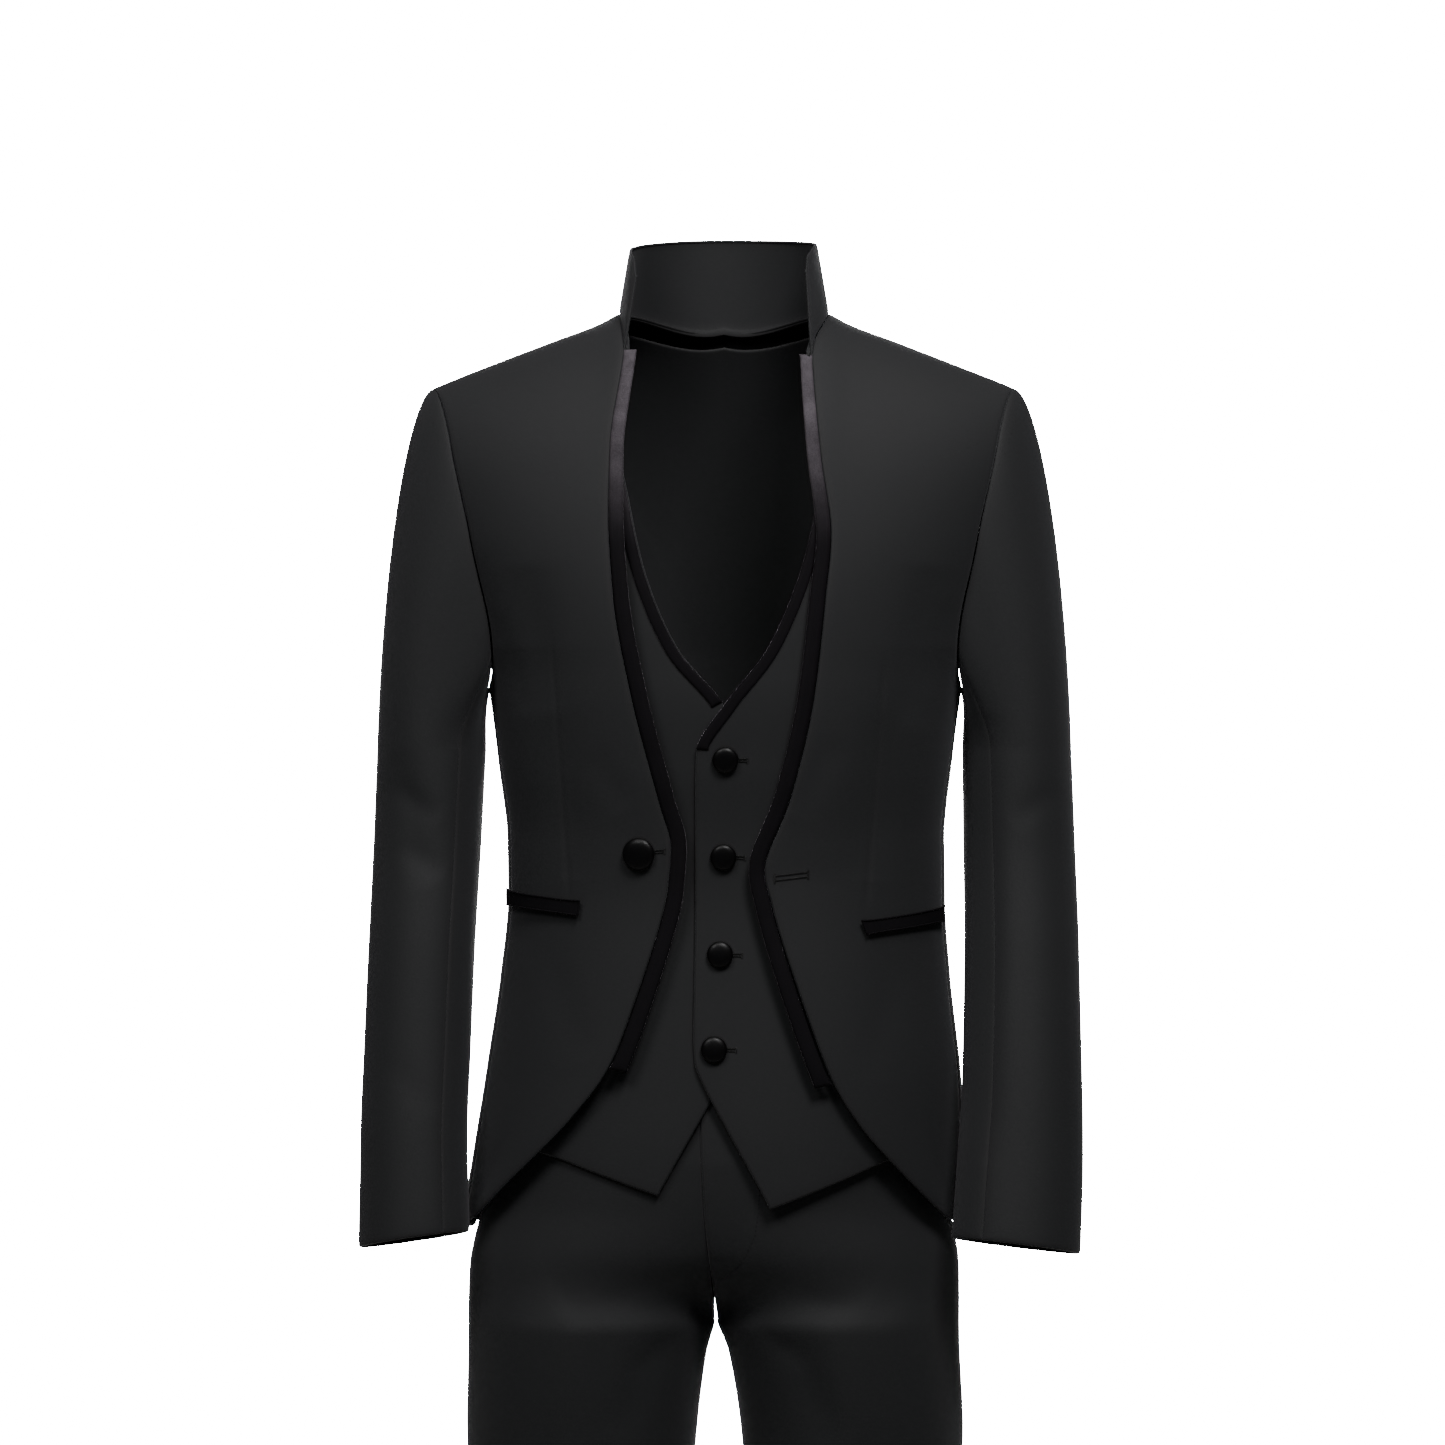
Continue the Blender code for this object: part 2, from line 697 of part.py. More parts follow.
def sleeve_ring(rows, side, turn, height):
    """A point of a sleeve's section at this height, with the slant of the cuff."""
    at = {name: curve(rows, name)(height) for name in Ring._fields[1:]}
    cuff = 1 - smoothstep(height, rows[0].height, rows[0].height + CUFF_FADE)
    turn = np.radians(turn)
    out, fore = signed_power(np.cos(turn), 2 / at["square"]), signed_power(np.sin(turn), 2 / at["square"])
    low = height + cuff * (-CUFF_SLANT * out + CUFF_RISE * fore)
    return np.stack([at["middle"] + side * at["half"] * out, at["forward"] - at["deep"] * fore, low], -1)


def sleeve_form(rows, side, start, end):
    """The surface of a sleeve between two turns, from the armhole down to the cuff."""
    head_foot = rows[-1].height

    def at(u, v):
        u, v = np.broadcast_arrays(u, v)
        turn = start + (end - start) * u
        angle, level = JACKET_ARM(np.mod(turn, 360))
        seam = torso(side * angle, level)
        ring = sleeve_ring(rows, side, turn, head_foot + 0 * v)
        crown = (1 + np.cos(np.radians(turn))) / 2
        fall = seam[..., 2] - ring[..., 2]
        fore = np.sin(np.radians(turn))
        leave = np.stack([side * (3 + HEAD_REACH * crown**2), -HEAD_FRONT * fore, -fall * (0.02 + 0.31 * (1 - crown**1.5))], -1)
        seam = seam + leave / np.linalg.norm(leave, axis=-1)[..., None] * SLEEVE_GAP
        join = ring + np.stack([-side * 4 * crown, 0 * fall, fall * (0.36 + 0.18 * crown)], -1)
        t = np.clip(v / HEAD_ROWS, 0, 1)[..., None]
        head = (1 - t) ** 3 * seam + 3 * t * (1 - t) ** 2 * (seam + leave) + 3 * t * t * (1 - t) * join + t**3 * ring
        height = head_foot + (rows[0].height - head_foot) * np.clip((v - HEAD_ROWS) / (1 - HEAD_ROWS), 0, 1)
        arm = sleeve_ring(rows, side, turn, height)
        return np.where((v < HEAD_ROWS)[..., None], head, arm)

    return at


def sleeve_turns(rows):
    """The turns round the armhole where the front, the side body and the back have their points."""
    front = FOOT_FRONT * by_row(rows, "down")(FRONT_DOWNS)
    under = FOOT_FRONT + (FOOT_BACK - FOOT_FRONT) * SIDE_ACROSS
    back = 360 + (FOOT_BACK - 360) * BACK_DOWNS[BACK_DOWNS <= ARM_ROWS] / ARM_ROWS
    return np.concatenate([front[front < FOOT_FRONT], under, back])


def sleeves():
    for name, rows, front, side in (("left", LEFT_SLEEVE, LEFT_FRONT, 1), ("right", RIGHT_SLEEVE, RIGHT_FRONT, -1)):
        turns = np.where(sleeve_turns(front) > HIND_SEAM, sleeve_turns(front) - 360, sleeve_turns(front))
        for part, end in (("top", HIND_SEAM - 360), ("under", HIND_SEAM)):
            form = drawn_in(sleeve_form(rows, side, FRONT_SEAM, end), ends=0)
            across = np.unique(np.round((turns - FRONT_SEAM) / (end - FRONT_SEAM), 3))
            across = across[(across > 0.03) & (across < 0.97)]
            across = np.concatenate([[0, 0.015], across, [0.985, 1]])
            faces_out = side > 0 if part == "under" else side < 0
            form = folded(form if faces_out else mirrored(form), "sleeve")
            sheet(f"{part}_sleeve_{name}", form, across if faces_out else 1 - across[::-1], SLEEVE_DOWNS, JACKET_WALL)


def collar_form():
    """The stand collar round the back of the neck, from one front end to the other."""
    tops, halves = curve(COLLAR, "top"), curve(COLLAR, "half")

    def at(u, v):
        turn = COLLAR_TURN * (2 * u - 1)
        side = np.where(turn < 0, -1, 1)
        angle, level = neck_point(np.minimum(np.abs(turn), 90))
        base = torso(side * angle, level)
        for rows, sign in ((LEFT_FRONT, 1), (RIGHT_FRONT, -1)):
            share = np.clip((np.abs(turn) - 90) / (COLLAR_TURN - 90), 0, 1)
            edge_angle, edge_level = edge_way(rows)(share / (len(rows) - 1))
            front = (np.abs(turn) > 90) & (side == sign)
            base = np.where(front[..., None], torso(edge_angle, edge_level), base)
        way = np.radians(turn)
        deep = np.where(np.cos(way) > 0, COLLAR_BACK, COLLAR_FRONT)
        top = np.stack(
            [TORSO_AT["middle"](0.0) + halves(turn) * np.sin(way), deep * np.cos(way), tops(turn)], -1
        )
        rise = np.array([0, 0, 2 * SEAM])
        return base + rise + (top - base - rise) * v[..., None]

    return at


def trims():
    wide = curve(TRIM, "wide")
    beside = FRONT_ROWS[(FRONT_ROWS >= TRIM_START) & (FRONT_ROWS <= TRIM_END)]
    downs = (beside - TRIM_START) / (TRIM_END - TRIM_START)
    for name, rows, side in (("left", LEFT_FRONT, 1), ("right", RIGHT_FRONT, -1)):
        lift = by_row(rows, "lift")
        form = strip(rows, TRIM_START, TRIM_END, wide, side, lambda at, lift=lift: lift(at) + VELVET_PROUD)
        form = facing_out(drawn_in(form, sides=SEAM, ends=0), -side)
        sheet(f"front_trim_{name}", form, spaced(2, 0.06), downs, VELVET_WALL, VELVET)


def spot(form, across, height):
    """The place on a surface that is seen from the front at this point."""
    low, high = np.zeros(2), np.ones(2)
    for _ in range(4):
        u, v = np.meshgrid(*(np.linspace(a, b, 33) for a, b in zip(low, high)))
        points = form(u, v)
        miss = (points[..., 0] - across) ** 2 + (points[..., 2] - height) ** 2
        i = np.unravel_index(np.argmin(miss), miss.shape)
        found, reach = np.array([u[i], v[i]]), (high - low) / 16
        low, high = np.maximum(found - reach, 0), np.minimum(found + reach, 1)
    return found


def laid_on(form, corners, out):
    """A four-sided piece laid on a surface, by the places of its corners seen from the front."""
    a, b, c, d = (spot(form, *corner) for corner in corners)

    def at(u, v):
        u, v = u[..., None], v[..., None]
        way = (1 - v) * ((1 - u) * a + u * b) + v * ((1 - u) * d + u * c)
        return moved_out(form, out)(way[..., 0], way[..., 1])

    return at


def welts(fronts):
    for name, corners in WELTS.items():
        form = laid_on(fronts[name], corners, SEAM + WELT_WALL)
        sheet(f"pocket_welt_{name}", form, np.linspace(0, 1, 8), np.linspace(0, 1, 3), WELT_WALL, VELVET)


def button(name, form, across, height, size):
    """A domed, cloth-covered button that lies on a surface."""
    profile = bpy.data.meshes.new(name)
    turned = bmesh.new()
    half = size / 2
    outline = [(half * reach, size * rise) for reach, rise in BUTTON_PROFILE]
    verts = [turned.verts.new((reach * MM, 0, rise * MM)) for reach, rise in outline]
    for first, second in zip(verts, verts[1:]):
        turned.edges.new((first, second))
    turned.to_mesh(profile)
    turned.free()
    obj = bpy.data.objects.new(name, profile)
    SUIT.objects.link(obj)
    screw = obj.modifiers.new("Turn", "SCREW")
    screw.steps = screw.render_steps = 18
    screw.use_merge_vertices = True
    screw.merge_threshold = 1e-5
    u, v = spot(form, across, height)
    normal = outward(form, u, v)
    obj.location = (form(u, v) + normal * BUTTON_ROOM) * MM
    obj.rotation_mode = "QUATERNION"
    obj.rotation_quaternion = Vector(normal).to_track_quat("Z", "Y")
    shade(obj, VELVET)


def vest_front_form(rows, side, under):
    """The surface of a waistcoat front from its edge to the armhole and side seam."""
    down = by_row(rows, "down")
    line = side_line(side, VEST_ARM, 0, 180, VEST_SIDE_HEM, 90)
    edge = edge_way(rows, -WAISTCOAT_INSET)
    far = lambda v: line(down(v))
    zero, one = np.array(0.0), np.array(1.0)
    (point_angle, point_level), (seam_angle, seam_level) = edge(one), far(one)
    rise = curve(VEST_HEM, "rise")

    def hem(u):
        return point_angle + (seam_angle - point_angle) * u, point_level + (seam_level - point_level) * rise(u)

    patch = coons(straight(edge(zero), far(zero)), hem, edge, far)
    return lambda u, v: torso(*patch(u, v), -WAISTCOAT_INSET - under * (1 - smoothstep(u, 0.3, 0.8)))


def back_out(angle, out):
    """How far an inner garment is moved, which is further in at the middle of the back."""
    return out + BACK_EASE * np.minimum(np.cos(np.radians(angle)), 0)


def vest_back_form():
    """The surface of the waistcoat's back, from one side seam round to the other."""
    line = side_line(1, VEST_ARM, 360, 180, VEST_SIDE_HEM, 90)
    drop = 1 / 3

    def near(v):
        return line(np.where(v < drop, v / drop, 1 + (v - drop) / (1 - drop)))

    def far(v):
        angle, level = near(v)
        return 360 - angle, level

    def top(u):
        turn = 90 * (1 - 2 * np.clip((u - VEST_SHOULDER_SHARE) / (1 - 2 * VEST_SHOULDER_SHARE), 0, 1))
        angle, level = neck_point(np.abs(turn), VEST_NECK_HALF, VEST_NECK_SHARE, -WAISTCOAT_INSET)
        neck_angle, _ = neck_point(90.0, VEST_NECK_HALF, VEST_NECK_SHARE, -WAISTCOAT_INSET)
        tip_angle, _ = VEST_ARM(360.0)
        out = np.clip(np.minimum(u, 1 - u) / VEST_SHOULDER_SHARE, 0, 1)
        angle = np.where(out < 1, tip_angle + (neck_angle - tip_angle) * out, angle)
        level = np.where(out < 1, 0, level)
        return np.where(u < 0.5, angle, 360 - angle), level

    def hem(u):
        return 90 + 180 * u, VEST_SIDE_HEM + (VEST_BACK_HEM - VEST_SIDE_HEM) * np.sin(np.radians(180) * u)

    patch = coons(top, hem, near, far)

    def at(u, v):
        angle, level = patch(u, v)
        return torso(angle, level, back_out(angle, -WAISTCOAT_INSET))

    return at


def bound_edge(form):
    """The strip of a surface that its binding covers, along the edge where u is 0."""

    def at(u, v):
        across = (form(0 * v + 0.1, v) - form(0 * v, v)) * 10
        along = form(0 * v, np.minimum(v + 1e-3, 1)) - form(0 * v, np.maximum(v - 1e-3, 0))
        wide = np.linalg.norm(np.cross(across, along), axis=-1) / np.linalg.norm(along, axis=-1)
        return form(u * BINDING_WIDE / wide, v)

    return at


def waistcoat():
    fronts = {}
    for name, rows, side, under in (("left", VEST_LEFT, 1, 0), ("right", VEST_RIGHT, -1, UNDER_LAP)):
        fronts[name] = facing_out(drawn_in(vest_front_form(rows, side, under)), side)
        sheet(f"waistcoat_front_{name}", fronts[name], spaced(7, 0.02), VEST_DOWNS, WAISTCOAT_WALL)
        edging = facing_out(bound_edge(drawn_in(vest_front_form(rows, side, under))), side)
        form = moved_out(edging, 1.5 * SEAM + BINDING_WALL)
        downs = VEST_DOWNS[VEST_ROWS <= BINDING_ENDS[name]]
        sheet(f"neck_binding_{name}", form, np.linspace(0, 1, 3), downs, BINDING_WALL, VELVET)
    form = drawn_in(vest_back_form())
    sheet("waistcoat_back", form, VEST_ACROSS, VEST_BACK_DOWNS, WAISTCOAT_WALL)
    for number, (across, height) in enumerate(VEST_BUTTONS, 1):
        button(f"waistcoat_button_{number}", fronts["left"], across, height, VEST_BUTTON)


FORK_AT = curve(FORK, "share")
FLY_AT = {name: curve(FLY, name) for name in Fly._fields[1:]}


def trouser_form(rows, name, side, back):
    """The surface of a trouser panel from the side seam to the middle of the body and the inside leg."""
    at_leg = {field: curve(rows, field) for field in Leg._fields[1:]}

    def at(u, v):
        u, v = np.broadcast_arrays(u, v)
        height = BAND_FOOT + (TROUSER_HEM - BAND_FOOT) * v
        out = -TROUSER_INSET + HIP_EASE * (1 - smoothstep(height, -720, -670))
        end = side * 180.0
        if not back:
            across = FLY_AT["across"](height) + (FLY_AT["lap"](height) if side < 0 else 0)
            end = place(across, height, out)[0]
            if side < 0:
                out = out - FLY_AT["sink"](height) * smoothstep(u, 1 - SINK_SHARE, 1 - SINK_SHARE / 3)
        angle = side * 90 + (end - side * 90) * u
        hips = torso(angle, height, back_out(angle, out))
        leg = {field: way(height) for field, way in at_leg.items()}
        turn = 180 * u
        crease = smoothstep(-height, 690, 830) * CREASE_RISE
        crease = crease * np.exp(-(((turn - CREASE_TURN[name]) / CREASE_HALF) ** 2))
        deep = (leg["back"] if back else -leg["front"]) + (crease if back else -crease)
        power = 2 / leg["square"]
        turn = np.radians(turn)
        across = leg["middle"] + side * leg["half"] * signed_power(np.cos(turn), power)
        thigh = np.stack([across, leg["forward"] + deep * signed_power(np.sin(turn), power), height], -1)
        share = FORK_AT(height)[..., None]
        return (1 - share) * hips + share * thigh

    return at


def trousers():
    downs = (np.array(TROUSER_ROWS) - BAND_FOOT) / (TROUSER_HEM - BAND_FOOT)
    for name, rows, side in (("left", LEFT_LEG, 1), ("right", RIGHT_LEG, -1)):
        for part, back in (("front", False), ("back", True)):
            form = folded(drawn_in(trouser_form(rows, name, side, back)), "trousers")
            outside = side < 0 if back else side > 0
            sheet(
                f"trouser_{part}_{name}", form if outside else mirrored(form),
                spaced(6, 0.02), downs, TROUSER_WALL,
            )
    start = float(place(FLY[-1].across, WAIST_TOP, -TROUSER_INSET)[0])
    count = 30

    def band(u, v):
        angle = start + 360 * (BAND_ENDS + (1 - 2 * BAND_ENDS) * u)
        height = WAIST_TOP + (BAND_FOOT + 2 * SEAM - WAIST_TOP) * v
        return torso(angle, height, back_out(angle, -TROUSER_INSET))

    sheet("waistband", mirrored(band), np.linspace(0, 1, count), np.linspace(0, 1, 3), TROUSER_WALL)


def main():
    fronts = jacket_body()
    sleeves()
    front_turns = 90 + (COLLAR_TURN - 90) * FRONT_ROWS[(FRONT_ROWS > 0) & (FRONT_ROWS <= 1)]
    turns = np.concatenate([NECK_TURNS, front_turns])
    across = (1 + np.concatenate([-turns[:0:-1], turns]) / COLLAR_TURN) / 2
    sheet("jacket_collar", mirrored(collar_form()), across, np.linspace(0, 1, 4), JACKET_WALL)
    trims()
    welts(fronts)
    size, across, height = JACKET_BUTTON
    button("jacket_button", fronts["right"], across, height, size)
    waistcoat()
    trousers()


for old in list(bpy.data.objects):
    bpy.data.objects.remove(old)
SUIT = bpy.data.collections.new("three_piece_tuxedo")
bpy.context.scene.collection.children.link(SUIT)
main()
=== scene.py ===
"""Looks of the three-piece tuxedo: cut and sewn cloth, velvet trim, buttons, stitches and studio.

Each cut piece is laid out fine on the same form as its solid, with seams that pull in, pressed
creases and soft folds. Sizes in the tables are in millimetres, seen from the front where a table
says across and height. +Z is up, the wearer faces -Y and the wearer's left is at +X.
"""

from collections import namedtuple

import bmesh
import bpy
import numpy as np
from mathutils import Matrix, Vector


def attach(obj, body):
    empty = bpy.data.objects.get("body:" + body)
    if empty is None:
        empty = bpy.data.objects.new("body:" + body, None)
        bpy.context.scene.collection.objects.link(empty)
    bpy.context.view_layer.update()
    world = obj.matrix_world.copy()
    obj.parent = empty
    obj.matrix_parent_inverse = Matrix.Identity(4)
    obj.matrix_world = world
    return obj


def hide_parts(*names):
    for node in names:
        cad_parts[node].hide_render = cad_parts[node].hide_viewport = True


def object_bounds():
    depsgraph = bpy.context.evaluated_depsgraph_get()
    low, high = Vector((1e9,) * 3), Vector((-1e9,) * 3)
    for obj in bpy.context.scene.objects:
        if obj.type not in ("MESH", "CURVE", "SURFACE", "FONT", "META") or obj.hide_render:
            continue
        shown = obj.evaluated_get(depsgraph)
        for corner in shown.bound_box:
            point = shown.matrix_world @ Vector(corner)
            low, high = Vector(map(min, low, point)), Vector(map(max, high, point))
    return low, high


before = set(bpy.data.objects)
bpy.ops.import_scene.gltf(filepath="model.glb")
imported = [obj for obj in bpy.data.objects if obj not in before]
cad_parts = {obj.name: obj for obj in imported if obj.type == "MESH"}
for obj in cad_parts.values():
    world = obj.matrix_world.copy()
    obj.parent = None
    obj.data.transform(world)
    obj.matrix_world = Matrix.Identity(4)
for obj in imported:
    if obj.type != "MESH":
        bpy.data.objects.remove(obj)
CAD_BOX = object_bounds()

bl_info = {
    "name": "Three-Piece Tuxedo",
    "version": (1, 0, 0),
    "blender": (4, 5, 0),
    "location": "3D View > Sidebar > Tuxedo",
    "description": "Builds the cloth, velvet, buttons and stitches of a three-piece tuxedo on its frame",
    "category": "Object",
}


class ClothSettings(bpy.types.PropertyGroup):
    """The worsted wool of all three garments."""

    colour: bpy.props.FloatVectorProperty(
        name="Cloth", description="Colour of the wool", subtype="COLOR", default=(0.0088, 0.0088, 0.0094)
    )
    thread: bpy.props.FloatVectorProperty(
        name="Thread", description="Colour of the sewing thread", subtype="COLOR",
        default=(0.004, 0.004, 0.004),
    )
    yarn: bpy.props.FloatProperty(
        name="Yarn", description="Distance between two ribs of the weave", unit="LENGTH", default=0.0009
    )
    roughness: bpy.props.FloatProperty(
        name="Roughness", description="How matt the wool is", subtype="FACTOR", default=0.7, min=0, max=1
    )
    roll: bpy.props.FloatProperty(
        name="Seam roll", description="How far a cloth edge sinks at a seam, in millimetres", default=0.75
    )


class VelvetSettings(bpy.types.PropertyGroup):
    """The short-pile velvet of the trim, bindings and welts."""

    colour: bpy.props.FloatVectorProperty(
        name="Velvet", description="Colour deep in the pile", subtype="COLOR",
        default=(0.0035, 0.0028, 0.0038),
    )
    # Part of this colour is also mixed into the velvet's base colour towards the top, as painted sheen.
    sheen: bpy.props.FloatVectorProperty(
        name="Sheen", description="Colour of the pile at a grazing angle", subtype="COLOR",
        default=(0.5, 0.44, 0.5),
    )
    pile: bpy.props.FloatProperty(
        name="Pile", description="Size of a tuft of the pile", unit="LENGTH", default=0.0008
    )
    crown: bpy.props.FloatProperty(
        name="Crown", description="How far a trim stands up at its middle, in millimetres", default=1.3
    )


class StitchSettings(bpy.types.PropertyGroup):
    """The topstitching of the fly."""

    length: bpy.props.FloatProperty(
        name="Stitch", description="Length of a stitch", unit="LENGTH", default=0.0024
    )
    gap: bpy.props.FloatProperty(
        name="Gap", description="Room between two stitches", unit="LENGTH", default=0.0009
    )
    thick: bpy.props.FloatProperty(
        name="Thread", description="Thickness of the thread", unit="LENGTH", default=0.00045
    )


class StudioSettings(bpy.types.PropertyGroup):
    """Lights, camera and floor."""

    distance: bpy.props.FloatProperty(
        name="Distance", description="From the camera to the wearer", unit="LENGTH", default=8.0
    )
    frame_width: bpy.props.FloatProperty(
        name="View", description="Breadth that the camera takes in at the wearer", unit="LENGTH",
        default=1.098
    )
    key: bpy.props.FloatProperty(
        name="Key", description="Power of the lights in front", unit="POWER", default=13.5
    )
    top: bpy.props.FloatProperty(
        name="Top", description="Power of the top light", unit="POWER", default=16.0
    )
    back: bpy.props.FloatProperty(
        name="Back", description="Power of the light behind", unit="POWER", default=130.0
    )
    fill: bpy.props.FloatProperty(
        name="Fill", description="Strength of the light all round", default=0.05, min=0
    )
    white: bpy.props.FloatProperty(
        name="White", description="Strength of what the camera sees behind", default=60.0
    )


PROPERTY_GROUPS = {
    "tuxedo_cloth": ClothSettings,
    "tuxedo_velvet": VelvetSettings,
    "tuxedo_stitches": StitchSettings,
    "tuxedo_studio": StudioSettings,
}


class Socket:
    """A shader value that can be used in sums, so a pattern reads as an expression."""

    def __init__(self, nodes, output):
        self.nodes = nodes
        self.output = output

    def maths(self, operation, *values):
        return self.nodes.add("ShaderNodeMath", {"operation": operation}, *values)

    def __add__(self, other):
        return self.maths("ADD", self, other)

    def __sub__(self, other):
        return self.maths("SUBTRACT", self, other)

    def __rsub__(self, other):
        return self.maths("SUBTRACT", other, self)

    def __mul__(self, other):
        return self.maths("MULTIPLY", self, other)

    __radd__ = __add__
    __rmul__ = __mul__

    def sine(self):
        return self.maths("SINE", self)


class Nodes:
    """The nodes of one material, made by type, settings and what feeds their sockets."""

    def __init__(self, material):
        material.use_nodes = True
        self.tree = material.node_tree
        self.surface = self.tree.nodes["Principled BSDF"]

    def feed(self, socket, value):
        if isinstance(value, Socket):
            self.tree.links.new(value.output, socket)
        else:
            socket.default_value = value

    def add(self, kind, settings=None, *values, out=0, **named):
        node = self.tree.nodes.new(kind)
        for name, value in (settings or {}).items():
            setattr(node, name, value)
        for socket, value in zip(node.inputs, values):
            self.feed(socket, value)
        for name, value in named.items():
            self.feed(node.inputs[name], value)
        return Socket(self, node.outputs[out])

    def blend(self, share, first, second):
        """A colour between two colours."""
        node = self.tree.nodes.new("ShaderNodeMix")
        node.data_type = "RGBA"
        colours = [socket for socket in node.inputs if socket.type == "RGBA"]
        self.feed(node.inputs[0], share)
        self.feed(colours[0], first)
        self.feed(colours[1], second)
        return Socket(self, next(socket for socket in node.outputs if socket.type == "RGBA"))

    def along_cloth(self):
        """Metres across and down the piece, as it was cut."""
        flat = self.add("ShaderNodeUVMap", {"uv_map": "cloth"})
        across, down = (self.add("ShaderNodeSeparateXYZ", None, flat, out=axis) for axis in (0, 1))
        return flat, across, down

    def in_space(self):
        return self.add("ShaderNodeTexCoord", out=3)

    def noise(self, vector, scale, detail=2.0, rough=0.5):
        values = {"Vector": vector, "Scale": scale, "Detail": detail, "Roughness": rough}
        return self.add("ShaderNodeTexNoise", None, **values)

    def bump(self, height, distance, strength=1.0):
        return self.add("ShaderNodeBump", None, Height=height, Distance=distance, Strength=strength)

    def finish(self, **values):
        for name, value in values.items():
            self.feed(self.surface.inputs[name.replace("_", " ")], value)


def grey(colour, times):
    return (*[channel * times for channel in colour], 1.0)


def wool():
    """Fine worsted: twill ribs and single yarns in relief, yarns a little lighter and darker."""
    settings = bpy.context.scene.tuxedo_cloth
    material = bpy.data.materials.new("worsted_wool")
    nodes = Nodes(material)
    flat, across, down = nodes.along_cloth()
    turn = 2 * np.pi / settings.yarn
    ribs = ((across + down * 1.6) * turn).sine()
    yarns = (down * (turn * 1.9)).sine()
    streaks = nodes.add("ShaderNodeMapping", None, Vector=flat, Scale=(1.0, 5.0, 1.0))
    melange = nodes.noise(streaks, 420.0, 3.0, 0.6)
    cloud = nodes.noise(nodes.in_space(), 9.0, 2.0, 0.5)
    height = ribs * 0.5 + yarns * 0.25 + melange * 0.9
    shade = melange * 0.8 + cloud * 0.35 - 0.08
    colour = nodes.blend(shade, grey(settings.colour, 0.72), grey(settings.colour, 1.28))
    nodes.finish(
        Base_Color=colour,
        Roughness=melange * 0.12 + (settings.roughness - 0.06),
        Normal=nodes.bump(height, 0.00005, 0.55),
        Specular_IOR_Level=0.22,
        Sheen_Weight=0.07,
        Sheen_Roughness=0.55,
        Sheen_Tint=(0.75, 0.75, 0.8, 1.0),
    )
    return material


PAINTED_SHEEN_HEIGHTS = (-0.18, -0.07)  # painted sheen: between these heights, in metres, the velvet's base colour grows paler towards the top


def velvet():
    """Short pile: tufts in relief, brushed patches, deep black with a pale edge, and painted sheen that makes
    the base colour paler towards the top.
    """
    settings = bpy.context.scene.tuxedo_velvet
    material = bpy.data.materials.new("black_velvet")
    nodes = Nodes(material)
    place = nodes.in_space()
    tufts = nodes.noise(place, 1 / settings.pile, 2.0, 0.7)
    brushed = nodes.noise(place, 60.0, 3.0, 0.6)
    height = nodes.add("ShaderNodeSeparateXYZ", None, place, out=2)
    # Painted sheen: the share of the pale sheen colour mixed into the base colour grows with height.
    painted_sheen_share = nodes.add(
        "ShaderNodeMapRange", {"interpolation_type": "SMOOTHSTEP"}, height, *PAINTED_SHEEN_HEIGHTS, 0.0, 1.0
    )
    pile = brushed * 0.5 + tufts * 0.5
    black = nodes.blend(pile, grey(settings.colour, 0.15), grey(settings.colour, 1.6))
    # Painted sheen colour: it stands in for the pile catching the light from above.
    painted_sheen_colour = nodes.blend(pile, grey(settings.colour, 1.0), grey(settings.sheen, 0.22))
    colour = nodes.blend(painted_sheen_share * (pile * 0.8 + 0.5), black, painted_sheen_colour)
    nodes.finish(
        Base_Color=colour,
        Roughness=brushed * 0.1 + 0.8,
        Normal=nodes.bump(tufts * 0.6 + brushed * 1.4, 0.0004, 0.5),
        Specular_IOR_Level=0.1,
        Sheen_Weight=0.16,
        Sheen_Roughness=0.2,
        Sheen_Tint=(*settings.sheen, 1.0),
    )
    return material


def thread():
    """Twisted black sewing thread."""
    settings = bpy.context.scene.tuxedo_cloth
    material = bpy.data.materials.new("black_thread")
    nodes = Nodes(material)
    twist = nodes.noise(nodes.in_space(), 2500.0, 1.0, 0.5)
    nodes.finish(
        Base_Color=nodes.blend(twist, grey(settings.thread, 0.8), grey(settings.thread, 1.5)),
        Roughness=twist * 0.2 + 0.35,
        Normal=nodes.bump(twist, 0.0001, 0.4),
        Specular_IOR_Level=0.2,
    )
    return material


def satin():
    """Black satin cloth of the covered buttons."""
    material = bpy.data.materials.new("black_satin")
    nodes = Nodes(material)
    weave = nodes.noise(nodes.in_space(), 1600.0, 2.0, 0.6)
    nodes.finish(
        Base_Color=nodes.blend(weave, (0.0008, 0.0007, 0.0008, 1.0), (0.003, 0.0026, 0.003, 1.0)),
        Roughness=weave * 0.12 + 0.3,
        Normal=nodes.bump(weave, 0.0001, 0.3),
        Specular_IOR_Level=0.13,
    )
    return material


FINISHES = {"worsted_wool": wool, "black_velvet": velvet, "black_thread": thread, "black_satin": satin}


def finish(name):
    """The finish of that name, made when a piece first asks for it."""
    return bpy.data.materials.get(name) or FINISHES[name]()


MM = 0.001
SEAM = 0.3  # the room between two pieces that are sewn together

# Walls of the pieces as they are laid.
CLOTH_WALL = 1.8
TROUSER_WALL = 1.5
TRIM_WALL = 1.4
EDGE_WALL = 0.7
WELT_CLOTH_WALL = 1.2

# How far each inner garment lies inside the jacket's outer face.
WAISTCOAT_INSET = 6.0
UNDER_LAP = 4.4  # how much further in the waistcoat's right front lies, under the left one
TROUSER_INSET = 14.0
BACK_EASE = 5.0  # how much further in the inner garments lie at the middle of the back

# The jacket's form. Below BREAK a level is a height; above it the levels lean over to the ridge
# of the shoulders, which they reach at level 0.
BREAK = -250.0
FRONT_LEAN = 2.2
BACK_LEAN = 2.6
NECK_HALF = 80.0
BACK_NECK_SHARE = 0.63
COAT_HEM = -687.0

